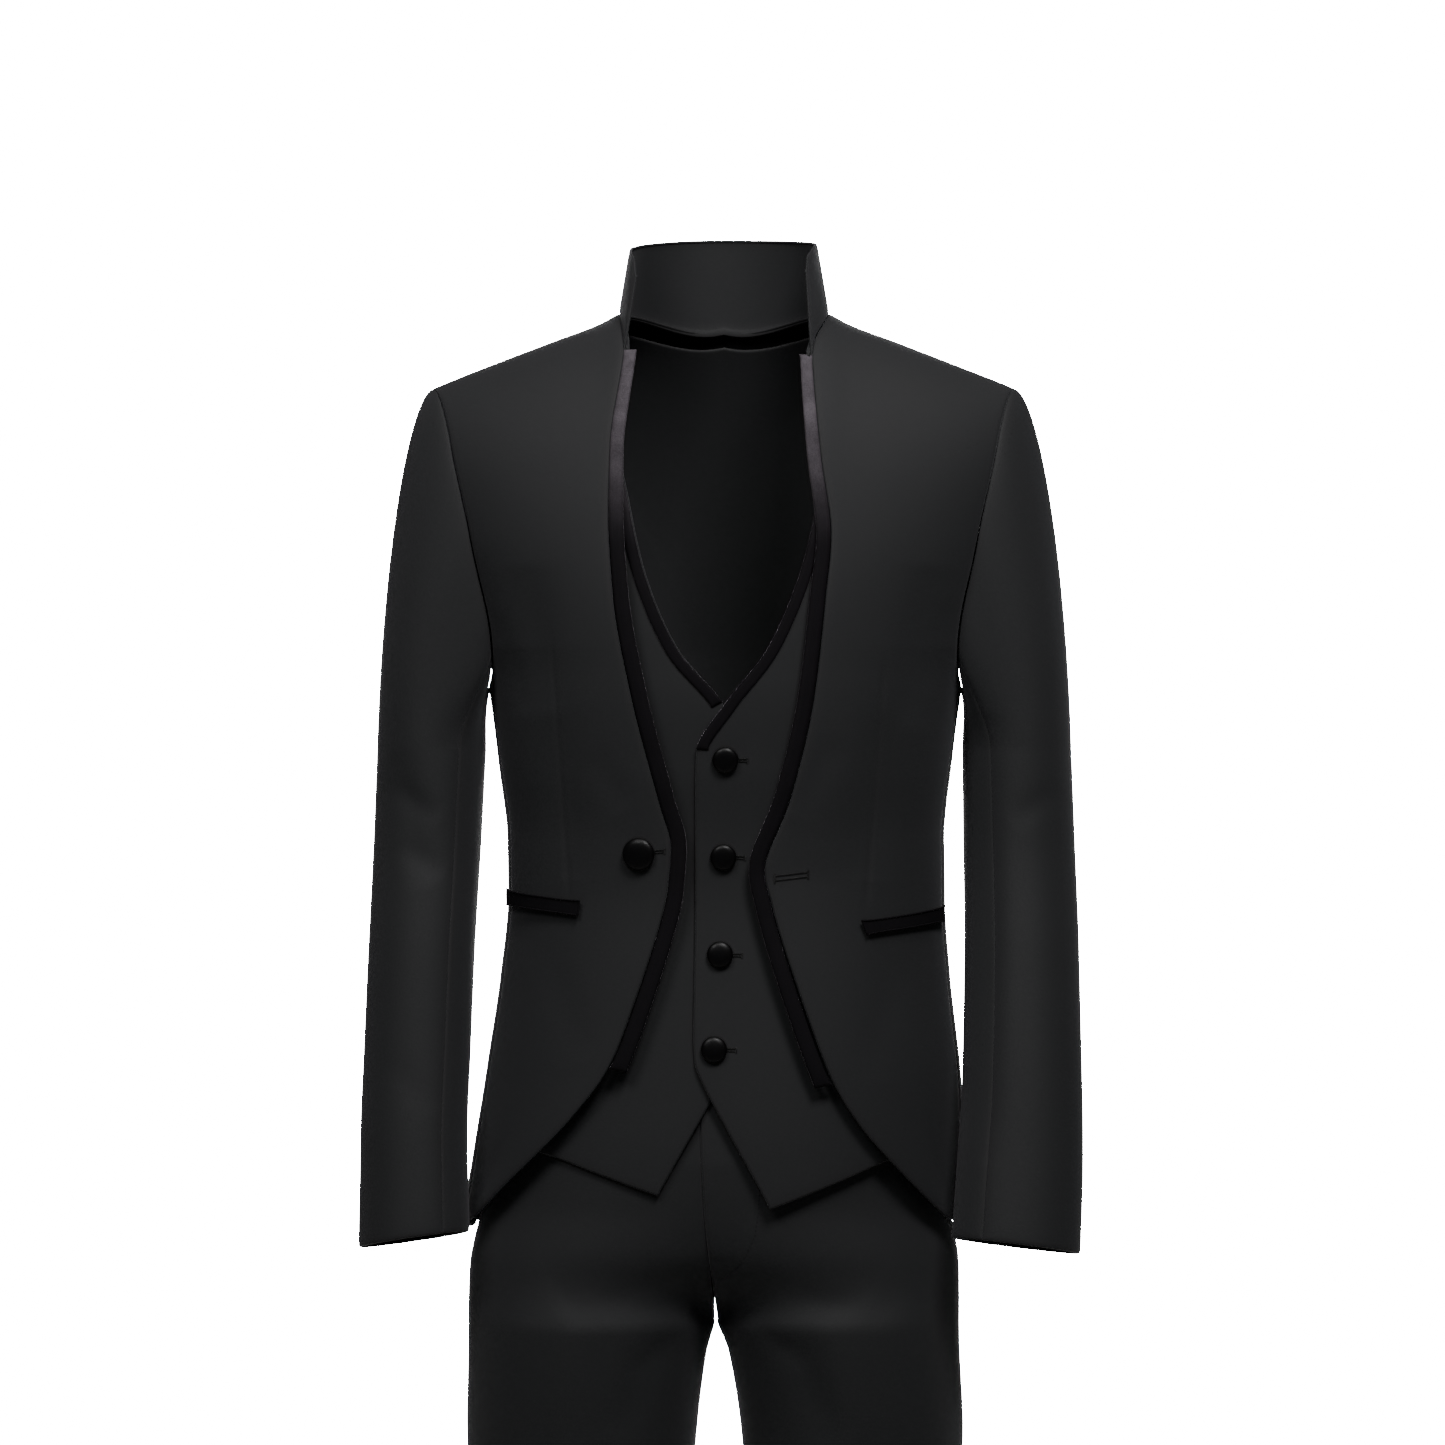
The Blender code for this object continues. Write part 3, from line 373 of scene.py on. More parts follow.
# Where the seams of the side bodies meet the armhole, by turns, and their angles at the waist.
FOOT_FRONT = 157.0
FOOT_BACK = 240.0
SIDE_ANGLE = 80.0
SIDE_BACK_ANGLE = 120.0
NECK_ROWS = 0.12  # shares of a back's height that the seams of the collar and the armhole take up
ARM_ROWS = 0.37


def table(kind, *rows):
    """A table whose rows are read by the names of its columns."""
    return [kind(*row) for row in rows]


Section = namedtuple("Section", "height middle half front back square")
TORSO = table(
    Section,
    (-800, -4.5, 196, 128, 136, 2.3),
    (-760, -4.5, 195, 128, 136, 2.3),
    (-690, -3.5, 192.5, 128, 134, 2.3),
    (-636, -1.0, 187, 127, 131, 2.3),
    (-569, 2.7, 180, 123, 124, 2.3),
    (-500, 4.0, 171, 118, 112, 2.3),
    (-437, 5.0, 166, 115, 105, 2.3),
    (-397, 4.5, 166, 117, 105, 2.3),
    (-340, 4.0, 172, 124, 110, 2.3),
    (-275, 4.0, 181, 129, 117, 2.3),
    (-240, 3.5, 192, 129, 119, 2.3),
    (-190, 3.0, 214, 127, 118, 2.3),
    (-120, 3.0, 234, 124, 116, 2.3),
    (0, 3.0, 245, 116, 113, 2.3),
)

Ridge = namedtuple("Ridge", "across height")
SHOULDER_RIDGE = table(
    Ridge, (0, 30), (45, 17), (78, 5), (95, -4), (130, -17), (180, -36), (222, -53), (262, -72)
)

# One turn round the seam of the sleeve, from the shoulder tip down the front and up the back.
Armhole = namedtuple("Armhole", "turn across height")
ARMHOLE = table(
    Armhole,
    (0, 221, -53),
    (28, 206, -98),
    (60, 194, -154),
    (88, 184, -203),
    (108, 177, -240),
    (128, 176, -262),
    (155, 179, -279),
    (180, 183, -285),
    (205, 180, -281),
    (232, 178.5, -268),
    (252, 184, -240),
    (272, 191, -203),
    (300, 199, -154),
    (332, 208, -98),
    (360, 221, -53),
)

# The fronts, a row for each point of the front edge: its place, how far the edge stands off the
# body, and how far down the armhole (0 to 1) and the side seam (1 to 2) the row ends.
Edge = namedtuple("Edge", "across height lift down")
RIGHT_FRONT = table(
    Edge,
    (-77, 4, 0, 0.0),
    (-73, -25, 0, 0.16),
    (-83, -98, 0, 0.42),
    (-84, -150, 1, 0.60),
    (-80, -214, 2, 0.83),
    (-66, -290, 2, 1.03),
    (-46, -366, 2, 1.21),
    (-37, -401, 2, 1.30),
    (-39.5, -434, 2, 1.39),
    (-64, -518, 3, 1.59),
    (-83, -566, 3, 1.70),
    (-110, -603, 3, 1.80),
    (-163, -657, 2, 1.92),
    (-186, -681, 0, 1.995),
)
LEFT_FRONT = table(
    Edge,
    (83, 3, 0, 0.0),
    (70, -29, 0, 0.16),
    (76, -105, 0, 0.43),
    (83.5, -165, 1, 0.64),
    (79, -214, 2, 0.83),
    (70, -290, 3, 1.03),
    (52, -366, 4, 1.21),
    (33.5, -417, 4, 1.33),
    (39, -446, 5, 1.41),
    (61, -518, 6, 1.59),
    (84, -578, 5, 1.73),
    (104, -610, 4, 1.81),
    (147, -657, 2, 1.92),
    (172, -681, 0, 1.995),
)

# The velvet trim: how wide it is along its way, by its row in the tables above.
Trim = namedtuple("Trim", "row wide")
TRIM = table(Trim, (1, 9), (2, 10.5), (4, 11.5), (9, 12), (10, 12))
TRIM_START = 1.0
TRIM_END = 10.0
VELVET_PROUD = 0.4
BAND_SKEW = 0.008  # how much sooner the free edge of a band stops, as a share of its length

# Pocket welts, by their four corners seen from the front, and buttons.
WELT_WALL = 1.6
WELTS = {
    "right": ((-158, -433), (-104, -441), (-105, -452), (-158, -445)),
    "left": ((105, -456), (166, -446), (166, -457), (109, -466)),
}
JACKET_BUTTON = (25.0, -60.5, -405.5)  # breadth, across and height
VEST_BUTTON = 20.0
VEST_BUTTONS = ((4, -335), (2.5, -408), (0, -481), (-4.5, -552))
BUTTON_ROOM = 0.9  # between a button and its cloth

# Sleeves, a row for each section from the cuff to just under the arm.
Ring = namedtuple("Ring", "height middle half forward deep square")
RIGHT_SLEEVE = table(
    Ring,
    (-696, -230.5, 42, -68, 47, 2.1),
    (-619, -231, 40.5, -53, 49, 2.1),
    (-559, -229, 40.5, -40, 51, 2.1),
    (-478, -226, 40.5, -22, 55, 2.1),
    (-397, -222, 41, -6, 58, 2.1),
    (-327, -219, 41.5, 0, 62, 2.1),
)
LEFT_SLEEVE = table(
    Ring,
    (-700, 222.5, 48.5, -88, 47, 2.1),
    (-640, 226, 47.5, -72, 49, 2.1),
    (-579, 228, 45.5, -56, 51, 2.1),
    (-478, 228.5, 43.5, -28, 55, 2.1),
    (-397, 227, 42.5, -8, 58, 2.1),
    (-327, 225.5, 41.5, 0, 62, 2.1),
)
CUFF_FADE = 130.0  # the height over which the slant of the cuff dies out
CUFF_SLANT = 6.0
CUFF_RISE = 4.0
FRONT_SEAM = 122.0  # turns round the sleeve where the under sleeve starts and ends
HIND_SEAM = 248.0
HEAD_ROWS = 0.4  # share of a sleeve's rows that its head takes up
HEAD_REACH = 15.0  # how far the head of the sleeve stands out beyond the seam
HEAD_FRONT = 6.0
SLEEVE_GAP = 0.55

COLLAR_TURN = 125.0
Stand = namedtuple("Stand", "turn base top half")
COLLAR = table(
    Stand,
    (-125, 0, 30, 82),
    (-118, 0, 43, 78),
    (-90, 0, 53, 72),
    (0, 0, 62, 72),
    (90, 0, 57, 71),
    (118, 0, 46, 73),
    (125, 0, 34, 77),
)
COLLAR_BACK = 71.0
COLLAR_FRONT = 92.0

# Waistcoat fronts, a row for each point from the shoulder by the neck to the hem at the side.
Vest = namedtuple("Vest", "across height down")
VEST_LEFT = table(
    Vest,
    (96, -4, 0.0),
    (91, -60, 0.30),
    (76, -130, 0.62),
    (62, -190, 0.86),
    (37, -250, 1.08),
    (5, -292, 1.20),
    (-17, -327, 1.28),
    (-18, -350, 1.34),
    (-18, -440, 1.57),
    (-19.5, -540, 1.80),
    (-18.5, -562, 1.85),
    (38, -671, 1.999),
)
VEST_RIGHT = table(
    Vest,
    (-90, -4, 0.0),
    (-86, -60, 0.30),
    (-72, -130, 0.62),
    (-59, -190, 0.86),
    (-34, -250, 1.08),
    (1, -292, 1.20),
    (17, -327, 1.28),
    (18, -350, 1.34),
    (18, -440, 1.57),
    (18, -530, 1.80),
    (14, -550, 1.85),
    (-48, -661, 1.999),
)
VEST_SIDE_HEM = -618.0
VEST_BACK_HEM = -600.0
VEST_NECK_HALF = 93.0
VEST_NECK_SHARE = 0.66
VEST_SHOULDER_SHARE = 0.2
Rise = namedtuple("Rise", "share rise")
VEST_HEM = table(Rise, (0, 0), (0.2, 0.36), (0.4, 0.66), (0.7, 0.9), (1, 1))
BINDING_WIDE = 8.0
BINDING_WALL = 1.2
BINDING_ENDS = {"left": 6.0, "right": 5.0}
VEST_ARMHOLE = table(
    Armhole,
    (0, 140, -21),
    (40, 137, -90),
    (90, 138, -170),
    (130, 152, -240),
    (155, 168, -282),
    (180, 190, -300),
    (205, 168, -285),
    (235, 156, -240),
    (270, 147, -170),
    (320, 142, -90),
    (360, 140, -21),
)

# Legs below the fork, and how far the sections have turned from hips to legs above it.
Leg = namedtuple("Leg", "height middle half forward front back square")
RIGHT_LEG = table(
    Leg,
    (-1555, -108, 54, 16, 66, 66, 2.0),
    (-1330, -108, 60, 14, 68, 72, 2.0),
    (-1110, -107, 68, 6, 74, 78, 2.05),
    (-980, -106.5, 77, 0, 84, 90, 2.1),
    (-853, -105, 87, 0, 99, 107, 2.15),
    (-785, -100.6, 90.8, 0, 106, 116, 2.2),
    (-762, -97.3, 94, 0, 108, 117, 2.2),
)
LEFT_LEG = table(
    Leg,
    (-1555, 106, 54, 16, 66, 66, 2.0),
    (-1330, 105, 60, 14, 68, 72, 2.0),
    (-1110, 103.5, 67, 6, 74, 78, 2.05),
    (-980, 102.5, 75, 0, 84, 90, 2.1),
    (-853, 100.7, 84, 0, 99, 107, 2.15),
    (-785, 94.4, 88, 0, 106, 116, 2.2),
    (-762, 89.6, 92.3, 0, 108, 117, 2.2),
)
Fork = namedtuple("Fork", "height share")
FORK = table(
    Fork, (-762, 1.0), (-755, 0.86), (-745, 0.62), (-730, 0.36), (-705, 0.14), (-670, 0.03), (-640, 0)
)
WAIST_TOP = -500.0
BAND_FOOT = -538.0
BAND_ENDS = 0.0006  # the room between the ends of the waistband, as a share of its length
TROUSER_HEM = -1555.0
HIP_EASE = 6.0  # how much fuller the trousers are below the jacket's hem
HIP_FADE = (-720, -670)  # heights between which that ease begins
CREASE_FADE = (690, 830)  # depths below the neck between which the crease begins
CREASE_RISE = 3.0
CREASE_HALF = 9.0
CREASE_TURN = {"left": 92.0, "right": 83.0}

# The fly: its edge on the left front, and how far the right front goes on under it and how deep.
Fly = namedtuple("Fly", "height across lap sink")
FLY = table(
    Fly,
    (-762, -3, 0, 0),
    (-748, -6, 0, 0),
    (-738, -7, 0, 2.0),
    (-725, -8, 0, 3.6),
    (-708, -9.5, 4, 3.8),
    (-670, -12, 7, 2.6),
    (-600, -14.5, 7, 2.3),
    (-500, -15, 7, 2.3),
)
SINK_SHARE = 0.14

# Main folds and hollows: where one starts and ends seen from the front, its depth and half breadth.
Fold = namedtuple("Fold", "garment side x0 z0 x1 z1 deep wide")
FOLDS = table(
    Fold,
    ("jacket", "front", -146, -190, -132, -300, 3.0, 17),
    ("jacket", "front", 158, -190, 146, -310, 3.5, 17),
    ("jacket", "front", -122, -300, -112, -425, 1.6, 15),
    ("jacket", "front", 122, -300, 112, -425, 1.8, 15),
    ("jacket", "back", -118, -180, -96, -350, 3.0, 20),
    ("jacket", "back", 124, -190, 102, -370, 3.4, 20),
    ("jacket", "back", 0, -420, 6, -640, 2.4, 24),
    ("sleeve", "front", 203, -300, 199, -640, 3.2, 12),
    ("sleeve", "front", -244, -330, -222, -430, 2.4, 14),
    ("sleeve", "back", -236, -300, -214, -420, 2.6, 15),
    ("sleeve", "back", 238, -310, 216, -450, 2.8, 15),
    ("trousers", "front", 52, -764, 84, -850, 3.0, 14),
    ("trousers", "front", -40, -766, -78, -846, 2.2, 15),
    ("trousers", "back", -46, -790, -96, -900, 3.2, 18),
    ("trousers", "back", 40, -786, 92, -905, 3.6, 18),
)


def curve(rows, column, key=0):
    """The smooth way through one column of a table by another; it never swings past a row."""
    pairs = sorted((row[key], getattr(row, column)) for row in rows)
    x, y = np.array(pairs, float).T
    gap = np.diff(x)
    slope = np.diff(y) / gap
    tangent = np.zeros(len(y))
    tangent[0], tangent[-1] = slope[0], slope[-1]
    for i in range(1, len(y) - 1):
        if slope[i - 1] * slope[i] > 0:
            tangent[i] = 2 * slope[i - 1] * slope[i] / (slope[i - 1] + slope[i])

    def at(value):
        value = np.clip(value, x[0], x[-1])
        i = np.clip(np.searchsorted(x, value) - 1, 0, len(gap) - 1)
        u = (value - x[i]) / gap[i]
        ends = (1 + 2 * u) * (1 - u) ** 2 * y[i] + u * u * (3 - 2 * u) * y[i + 1]
        return ends + gap[i] * (u * (1 - u) ** 2 * tangent[i] + u * u * (u - 1) * tangent[i + 1])

    return at


Step = namedtuple("Step", "row value")


def by_row(rows, column):
    """The smooth way through one column of a table by the share of the way down its rows."""
    last = len(rows) - 1
    return curve([Step(i / last, getattr(row, column)) for i, row in enumerate(rows)], "value")


TORSO_AT = {name: curve(TORSO, name) for name in Section._fields[1:]}
RIDGE_AT = curve(SHOULDER_RIDGE, "height")


def smoothstep(value, low, high):
    t = np.clip((value - low) / (high - low), 0, 1)
    return t * t * (3 - 2 * t)


def signed_power(value, power):
    return np.sign(value) * np.abs(value) ** power


def torso(angle, level, out=0.0):
    """A point of the worn form: degrees from the centre front and a level, moved out so far."""
    angle, level = np.broadcast_arrays(np.asarray(angle, float), np.asarray(level, float))
    turn = np.radians(angle)
    front = np.cos(turn) > 0
    power = 2 / TORSO_AT["square"](level)
    middle = TORSO_AT["middle"](level)
    across = (TORSO_AT["half"](level) + out) * signed_power(np.sin(turn), power)
    deep = np.where(front, TORSO_AT["front"](level), TORSO_AT["back"](level)) + out
    lean = np.radians(90) * np.clip(1 - level / BREAK, 0, 1)
    tip = 2 / np.where(front, FRONT_LEAN, BACK_LEAN)
    top = RIDGE_AT(np.abs(across)) + out
    height = np.minimum(level, BREAK) + (top - BREAK) * np.sin(lean) ** tip
    depth = -deep * signed_power(np.cos(turn), power) * np.cos(lean) ** tip
    return np.stack([middle + across, depth, height], axis=-1)


def place(across, height, out=0.0, back=False):
    """The angle and level where the form, seen from the front, shows this point."""
    across, height = np.broadcast_arrays(np.asarray(across, float), np.asarray(height, float))
    lean = BACK_LEAN if back else FRONT_LEAN
    level = np.minimum(height, BREAK)
    for _ in range(5):
        top = RIDGE_AT(np.abs(across - TORSO_AT["middle"](level))) + out
        share = np.clip((height - BREAK) / (top - BREAK), 0, 1)
        rise = np.degrees(np.arcsin(share ** (lean / 2))) / 90
        level = np.where(height > BREAK, BREAK - BREAK * rise, height)
    away = (across - TORSO_AT["middle"](level)) / (TORSO_AT["half"](level) + out)
    share = np.clip(np.abs(away), 0, 1) ** (TORSO_AT["square"](level) / 2)
    angle = np.degrees(np.arcsin(share))
    angle = 180 - angle if back else angle
    return np.where(away < 0, -angle, angle), level


Turn = namedtuple("Turn", "turn angle level")


def armhole(rows, out=0.0):
    """The angle and level round an armhole by its turn, on the wearer's left."""
    found = []
    for row in rows:
        middle = TORSO_AT["middle"](row.height)
        angle, level = place(middle + row.across, row.height, out, row.turn > 180)
        found.append(Turn(row.turn, 90.0 if row.turn == 180 else float(angle), float(level)))
    angle, level = curve(found, "angle"), curve(found, "level")
    return lambda turn: (angle(turn), level(turn))


def side_line(side, arm, tip, foot, hem, seam):
    """Down the armhole from the shoulder (0) to its foot (1), then down the seam to the hem (2)."""
    foot_angle, foot_level = arm(foot)

    def at(down):
        angle, level = arm(tip + (foot - tip) * np.clip(down, 0, 1))
        below = foot_level + (hem - foot_level) * np.clip(down - 1, 0, 1)
        seam_angle = foot_angle + (seam - foot_angle) * smoothstep(foot_level - below, 0, 90)
        return side * np.where(down < 1, angle, seam_angle), np.where(down < 1, level, below)

    return at


def coons(top, bottom, near, far):
    """A patch of angles and levels spanned between its four sides."""

    def at(u, v):
        zero, one = 0.0 * v, 1 + 0 * v
        lines = zip(top(u), bottom(u), near(v), far(v), near(zero), far(zero), near(one), far(one))
        return tuple(
            (1 - v) * t + v * b + (1 - u) * n + u * f
            - (1 - v) * ((1 - u) * n0 + u * f0) - v * ((1 - u) * n1 + u * f1)
            for t, b, n, f, n0, f0, n1, f1 in lines
        )

    return at


def straight(first, last):
    """The even way from one angle and level to another."""
    return lambda share: tuple(a + (b - a) * share for a, b in zip(first, last))


def spanned(near, far, top=None, bottom=None):
    """A patch between two side lines, with the even way at its top or bottom where none is given."""
    zero, one = np.array(0.0), np.array(1.0)
    top = top or straight(near(zero), far(zero))
    bottom = bottom or straight(near(one), far(one))
    return coons(top, bottom, near, far)


def drawn_in(form, sides=SEAM / 2, ends=SEAM / 2):
    """A surface with its sides and ends drawn in by these lengths."""

    def at(u, v):
        zero, one = 0 * u, 0 * u + 1
        wide = np.linalg.norm(form(one, v) - form(zero, v), axis=-1)
        tall = np.linalg.norm(form(u, one) - form(u, zero), axis=-1)
        du, dv = sides / np.maximum(wide, 8 * sides + 1), ends / np.maximum(tall, 8 * ends + 1)
        return form(du + u * (1 - 2 * du), dv + v * (1 - 2 * dv))

    return at


def outward(form, u, v):
    """The direction in which a surface faces away from the body."""
    step = 1e-3
    du = form(np.minimum(u + step, 1), v) - form(np.maximum(u - step, 0), v)
    dv = form(u, np.minimum(v + step, 1)) - form(u, np.maximum(v - step, 0))
    normal = np.cross(du, dv)
    return normal / np.maximum(np.linalg.norm(normal, axis=-1), 1e-9)[..., None]


def moved_out(form, out):
    return lambda u, v: form(u, v) + outward(form, u, v) * out


def mirrored(form):
    """The same surface run from its other side, so that it faces the other way."""
    return lambda u, v: form(1 - u, v)


def folded(form, garment):
    """A surface with the main folds of its garment pressed in."""

    def at(u, v):
        points = form(u, v)
        normal = outward(form, u, v)
        push = np.zeros(points.shape[:-1])
        for fold in FOLDS:
            if fold.garment != garment:
                continue
            start, end = np.array([fold.x0, fold.z0]), np.array([fold.x1, fold.z1])
            way = end - start
            flat = points[..., [0, 2]] - start
            along = np.clip(flat @ way / (way @ way), 0, 1)
            off = np.linalg.norm(flat - along[..., None] * way, axis=-1)
            facing = smoothstep(normal[..., 1] * (-1 if fold.side == "front" else 1), 0.1, 0.5)
            fade = np.sin(np.radians(180) * along) ** 0.7
            push += fold.deep * facing * fade * np.exp(-((off / fold.wide) ** 2))
        return points - normal * push[..., None]

    return at


def edge_way(rows, out=0.0):
    """The angle and level along a front edge."""
    across, height = by_row(rows, "across"), by_row(rows, "height")
    return lambda share: place(across(share), height(share), out)


def strip(rows, first, last, wide, side, out):
    """A band beside an edge, between two of its rows, on the hand that the sign of its side gives."""
    across, height = by_row(rows, "across"), by_row(rows, "height")
    count = len(rows) - 1

    def line(v, share):
        at = (first + (last - first) * v) / count
        step = 2e-3
        way = np.stack([across(at + step) - across(at - step), height(at + step) - height(at - step)], -1)
        way /= np.linalg.norm(way, axis=-1)[..., None]
        reach = wide(first + (last - first) * v) * share
        shift, rise = side * way[..., 1] * reach, side * way[..., 0] * reach
        return place(across(at) + shift, height(at) - rise, out(at))

    def at(u, v):
        across_at = (first + (last - first) * v) / count
        angle, level = line(v, u)
        return torso(angle, level, out(across_at))

    return at


JACKET_ARM = armhole(ARMHOLE)
VEST_ARM = armhole(VEST_ARMHOLE, -WAISTCOAT_INSET)


def front_form(rows, side):
    """The surface of a jacket front from its edge to the armhole and side seam."""
    down, lift = by_row(rows, "down"), by_row(rows, "lift")
    line = side_line(side, JACKET_ARM, 0, FOOT_FRONT, COAT_HEM, SIDE_ANGLE)
    edge = edge_way(rows)
    far = lambda v: line(down(v))
    patch = spanned(edge, far)

    def at(u, v):
        angle, level = patch(u, v)
        return torso(angle, level, lift(v) * (1 - smoothstep(u, 0.0, 0.5)))

    return at


def neck_point(turn, half=NECK_HALF, share=BACK_NECK_SHARE, out=0.0):
    """The angle and level of the neckline on a back, 0 at the nape and 90 at the side."""
    turn = np.radians(turn)
    lean = np.arccos(np.clip(share * np.cos(turn), 0, 1) ** (BACK_LEAN / 2))
    level = BREAK - BREAK * lean / np.radians(90)
    away = half * np.abs(np.sin(turn)) / (TORSO_AT["half"](level) + out)
    angle = 180 - np.degrees(np.arcsin(away ** (TORSO_AT["square"](level) / 2)))
    return angle, level


def back_form(side):
    """The surface of a jacket back from the centre seam to the armhole and side seam."""
    line = side_line(side, JACKET_ARM, 360, FOOT_BACK, COAT_HEM, SIDE_BACK_ANGLE)
    _, nape_level = neck_point(0.0)

    def near(v):
        angle, level = neck_point(90 * (1 - np.clip(v / NECK_ROWS, 0, 1)))
        lower = nape_level + (COAT_HEM - nape_level) * np.clip((v - NECK_ROWS) / (1 - NECK_ROWS), 0, 1)
        return side * np.where(v < NECK_ROWS, angle, 180), np.where(v < NECK_ROWS, level, lower)

    def far(v):
        return line(np.where(v < ARM_ROWS, v / ARM_ROWS, 1 + (v - ARM_ROWS) / (1 - ARM_ROWS)))

    patch = spanned(near, far)
    return lambda u, v: torso(*patch(u, v))


def side_form(side):
    """The surface of a side body, from the foot of the armhole to the hem."""
    front = side_line(side, JACKET_ARM, 0, FOOT_FRONT, COAT_HEM, SIDE_ANGLE)
    back = side_line(side, JACKET_ARM, 360, FOOT_BACK, COAT_HEM, SIDE_BACK_ANGLE)

    def top(u):
        angle, level = JACKET_ARM(FOOT_FRONT + (FOOT_BACK - FOOT_FRONT) * u)
        return side * angle, level

    patch = spanned(lambda v: front(1 + v), lambda v: back(1 + v), top)
    return lambda u, v: torso(*patch(u, v))


def facing_out(form, side):
    """A surface on the wearer's left or right, run so that it faces away from the body."""
    return form if side < 0 else mirrored(form)


def sleeve_ring(rows, side, turn, height):
    """A point of a sleeve's section at this height, with the slant of the cuff."""
    at = {name: curve(rows, name)(height) for name in Ring._fields[1:]}
    cuff = 1 - smoothstep(height, rows[0].height, rows[0].height + CUFF_FADE)
    turn = np.radians(turn)
    out, fore = signed_power(np.cos(turn), 2 / at["square"]), signed_power(np.sin(turn), 2 / at["square"])
    low = height + cuff * (-CUFF_SLANT * out + CUFF_RISE * fore)
    return np.stack([at["middle"] + side * at["half"] * out, at["forward"] - at["deep"] * fore, low], -1)


def sleeve_form(rows, side, start, end):
    """The surface of a sleeve between two turns, from the armhole down to the cuff."""
    head_foot = rows[-1].height

    def at(u, v):
        u, v = np.broadcast_arrays(u, v)
        turn = start + (end - start) * u
        angle, level = JACKET_ARM(np.mod(turn, 360))
        seam = torso(side * angle, level)
        ring = sleeve_ring(rows, side, turn, head_foot + 0 * v)
        crown = (1 + np.cos(np.radians(turn))) / 2
        fall = seam[..., 2] - ring[..., 2]
        fore = np.sin(np.radians(turn))
        droop = 0.02 + 0.31 * (1 - crown**1.5)
        leave = np.stack([side * (3 + HEAD_REACH * crown**2), -HEAD_FRONT * fore, -fall * droop], -1)
        seam = seam + leave / np.linalg.norm(leave, axis=-1)[..., None] * SLEEVE_GAP
        join = ring + np.stack([-side * 4 * crown, 0 * fall, fall * (0.36 + 0.18 * crown)], -1)
        t = np.clip(v / HEAD_ROWS, 0, 1)[..., None]
        head = (1 - t) ** 3 * seam + 3 * t * (1 - t) ** 2 * (seam + leave)
        head = head + 3 * t * t * (1 - t) * join + t**3 * ring
        height = head_foot + (rows[0].height - head_foot) * np.clip((v - HEAD_ROWS) / (1 - HEAD_ROWS), 0, 1)
        arm = sleeve_ring(rows, side, turn, height)
        return np.where((v < HEAD_ROWS)[..., None], head, arm)

    return at


def collar_form():
    """The stand collar round the back of the neck, from one front end to the other."""
    tops, halves = curve(COLLAR, "top"), curve(COLLAR, "half")

    def at(u, v):
        turn = COLLAR_TURN * (2 * u - 1)
        side = np.where(turn < 0, -1, 1)
        angle, level = neck_point(np.minimum(np.abs(turn), 90))
        base = torso(side * angle, level)
        for rows, sign in ((LEFT_FRONT, 1), (RIGHT_FRONT, -1)):
            share = np.clip((np.abs(turn) - 90) / (COLLAR_TURN - 90), 0, 1)
            edge_angle, edge_level = edge_way(rows)(share / (len(rows) - 1))
            front = (np.abs(turn) > 90) & (side == sign)
            base = np.where(front[..., None], torso(edge_angle, edge_level), base)
        way = np.radians(turn)
        deep = np.where(np.cos(way) > 0, COLLAR_BACK, COLLAR_FRONT)
        top = np.stack(
            [TORSO_AT["middle"](0.0) + halves(turn) * np.sin(way), deep * np.cos(way), tops(turn)], -1
        )
        rise = np.array([0, 0, 2 * SEAM])
        return base + rise + (top - base - rise) * v[..., None]

    return at


def spot(form, across, height):
    """The place on a surface that is seen from the front at this point."""
    low, high = np.zeros(2), np.ones(2)
    for _ in range(4):
        u, v = np.meshgrid(*(np.linspace(a, b, 33) for a, b in zip(low, high)))
        points = form(u, v)
        miss = (points[..., 0] - across) ** 2 + (points[..., 2] - height) ** 2
        i = np.unravel_index(np.argmin(miss), miss.shape)
        found, reach = np.array([u[i], v[i]]), (high - low) / 16
        low, high = np.maximum(found - reach, 0), np.minimum(found + reach, 1)
    return found


def laid_on(form, corners, out):
    """A four-sided piece laid on a surface, by the places of its corners seen from the front."""
    a, b, c, d = (spot(form, *corner) for corner in corners)

    def at(u, v):
        u, v = u[..., None], v[..., None]
        way = (1 - v) * ((1 - u) * a + u * b) + v * ((1 - u) * d + u * c)
        return moved_out(form, out)(way[..., 0], way[..., 1])

    return at


def vest_front_form(rows, side, under):
    """The surface of a waistcoat front from its edge to the armhole and side seam."""
    down = by_row(rows, "down")
    line = side_line(side, VEST_ARM, 0, 180, VEST_SIDE_HEM, 90)
    edge = edge_way(rows, -WAISTCOAT_INSET)
    far = lambda v: line(down(v))
    one = np.array(1.0)
    (point_angle, point_level), (seam_angle, seam_level) = edge(one), far(one)
    rise = curve(VEST_HEM, "rise")

    def hem(u):
        level = point_level + (seam_level - point_level) * rise(u)
        return point_angle + (seam_angle - point_angle) * u, level

    patch = spanned(edge, far, bottom=hem)
    return lambda u, v: torso(*patch(u, v), -WAISTCOAT_INSET - under * (1 - smoothstep(u, 0.3, 0.8)))


def back_out(angle, out):
    """How far an inner garment is moved, which is further in at the middle of the back."""
    return out + BACK_EASE * np.minimum(np.cos(np.radians(angle)), 0)


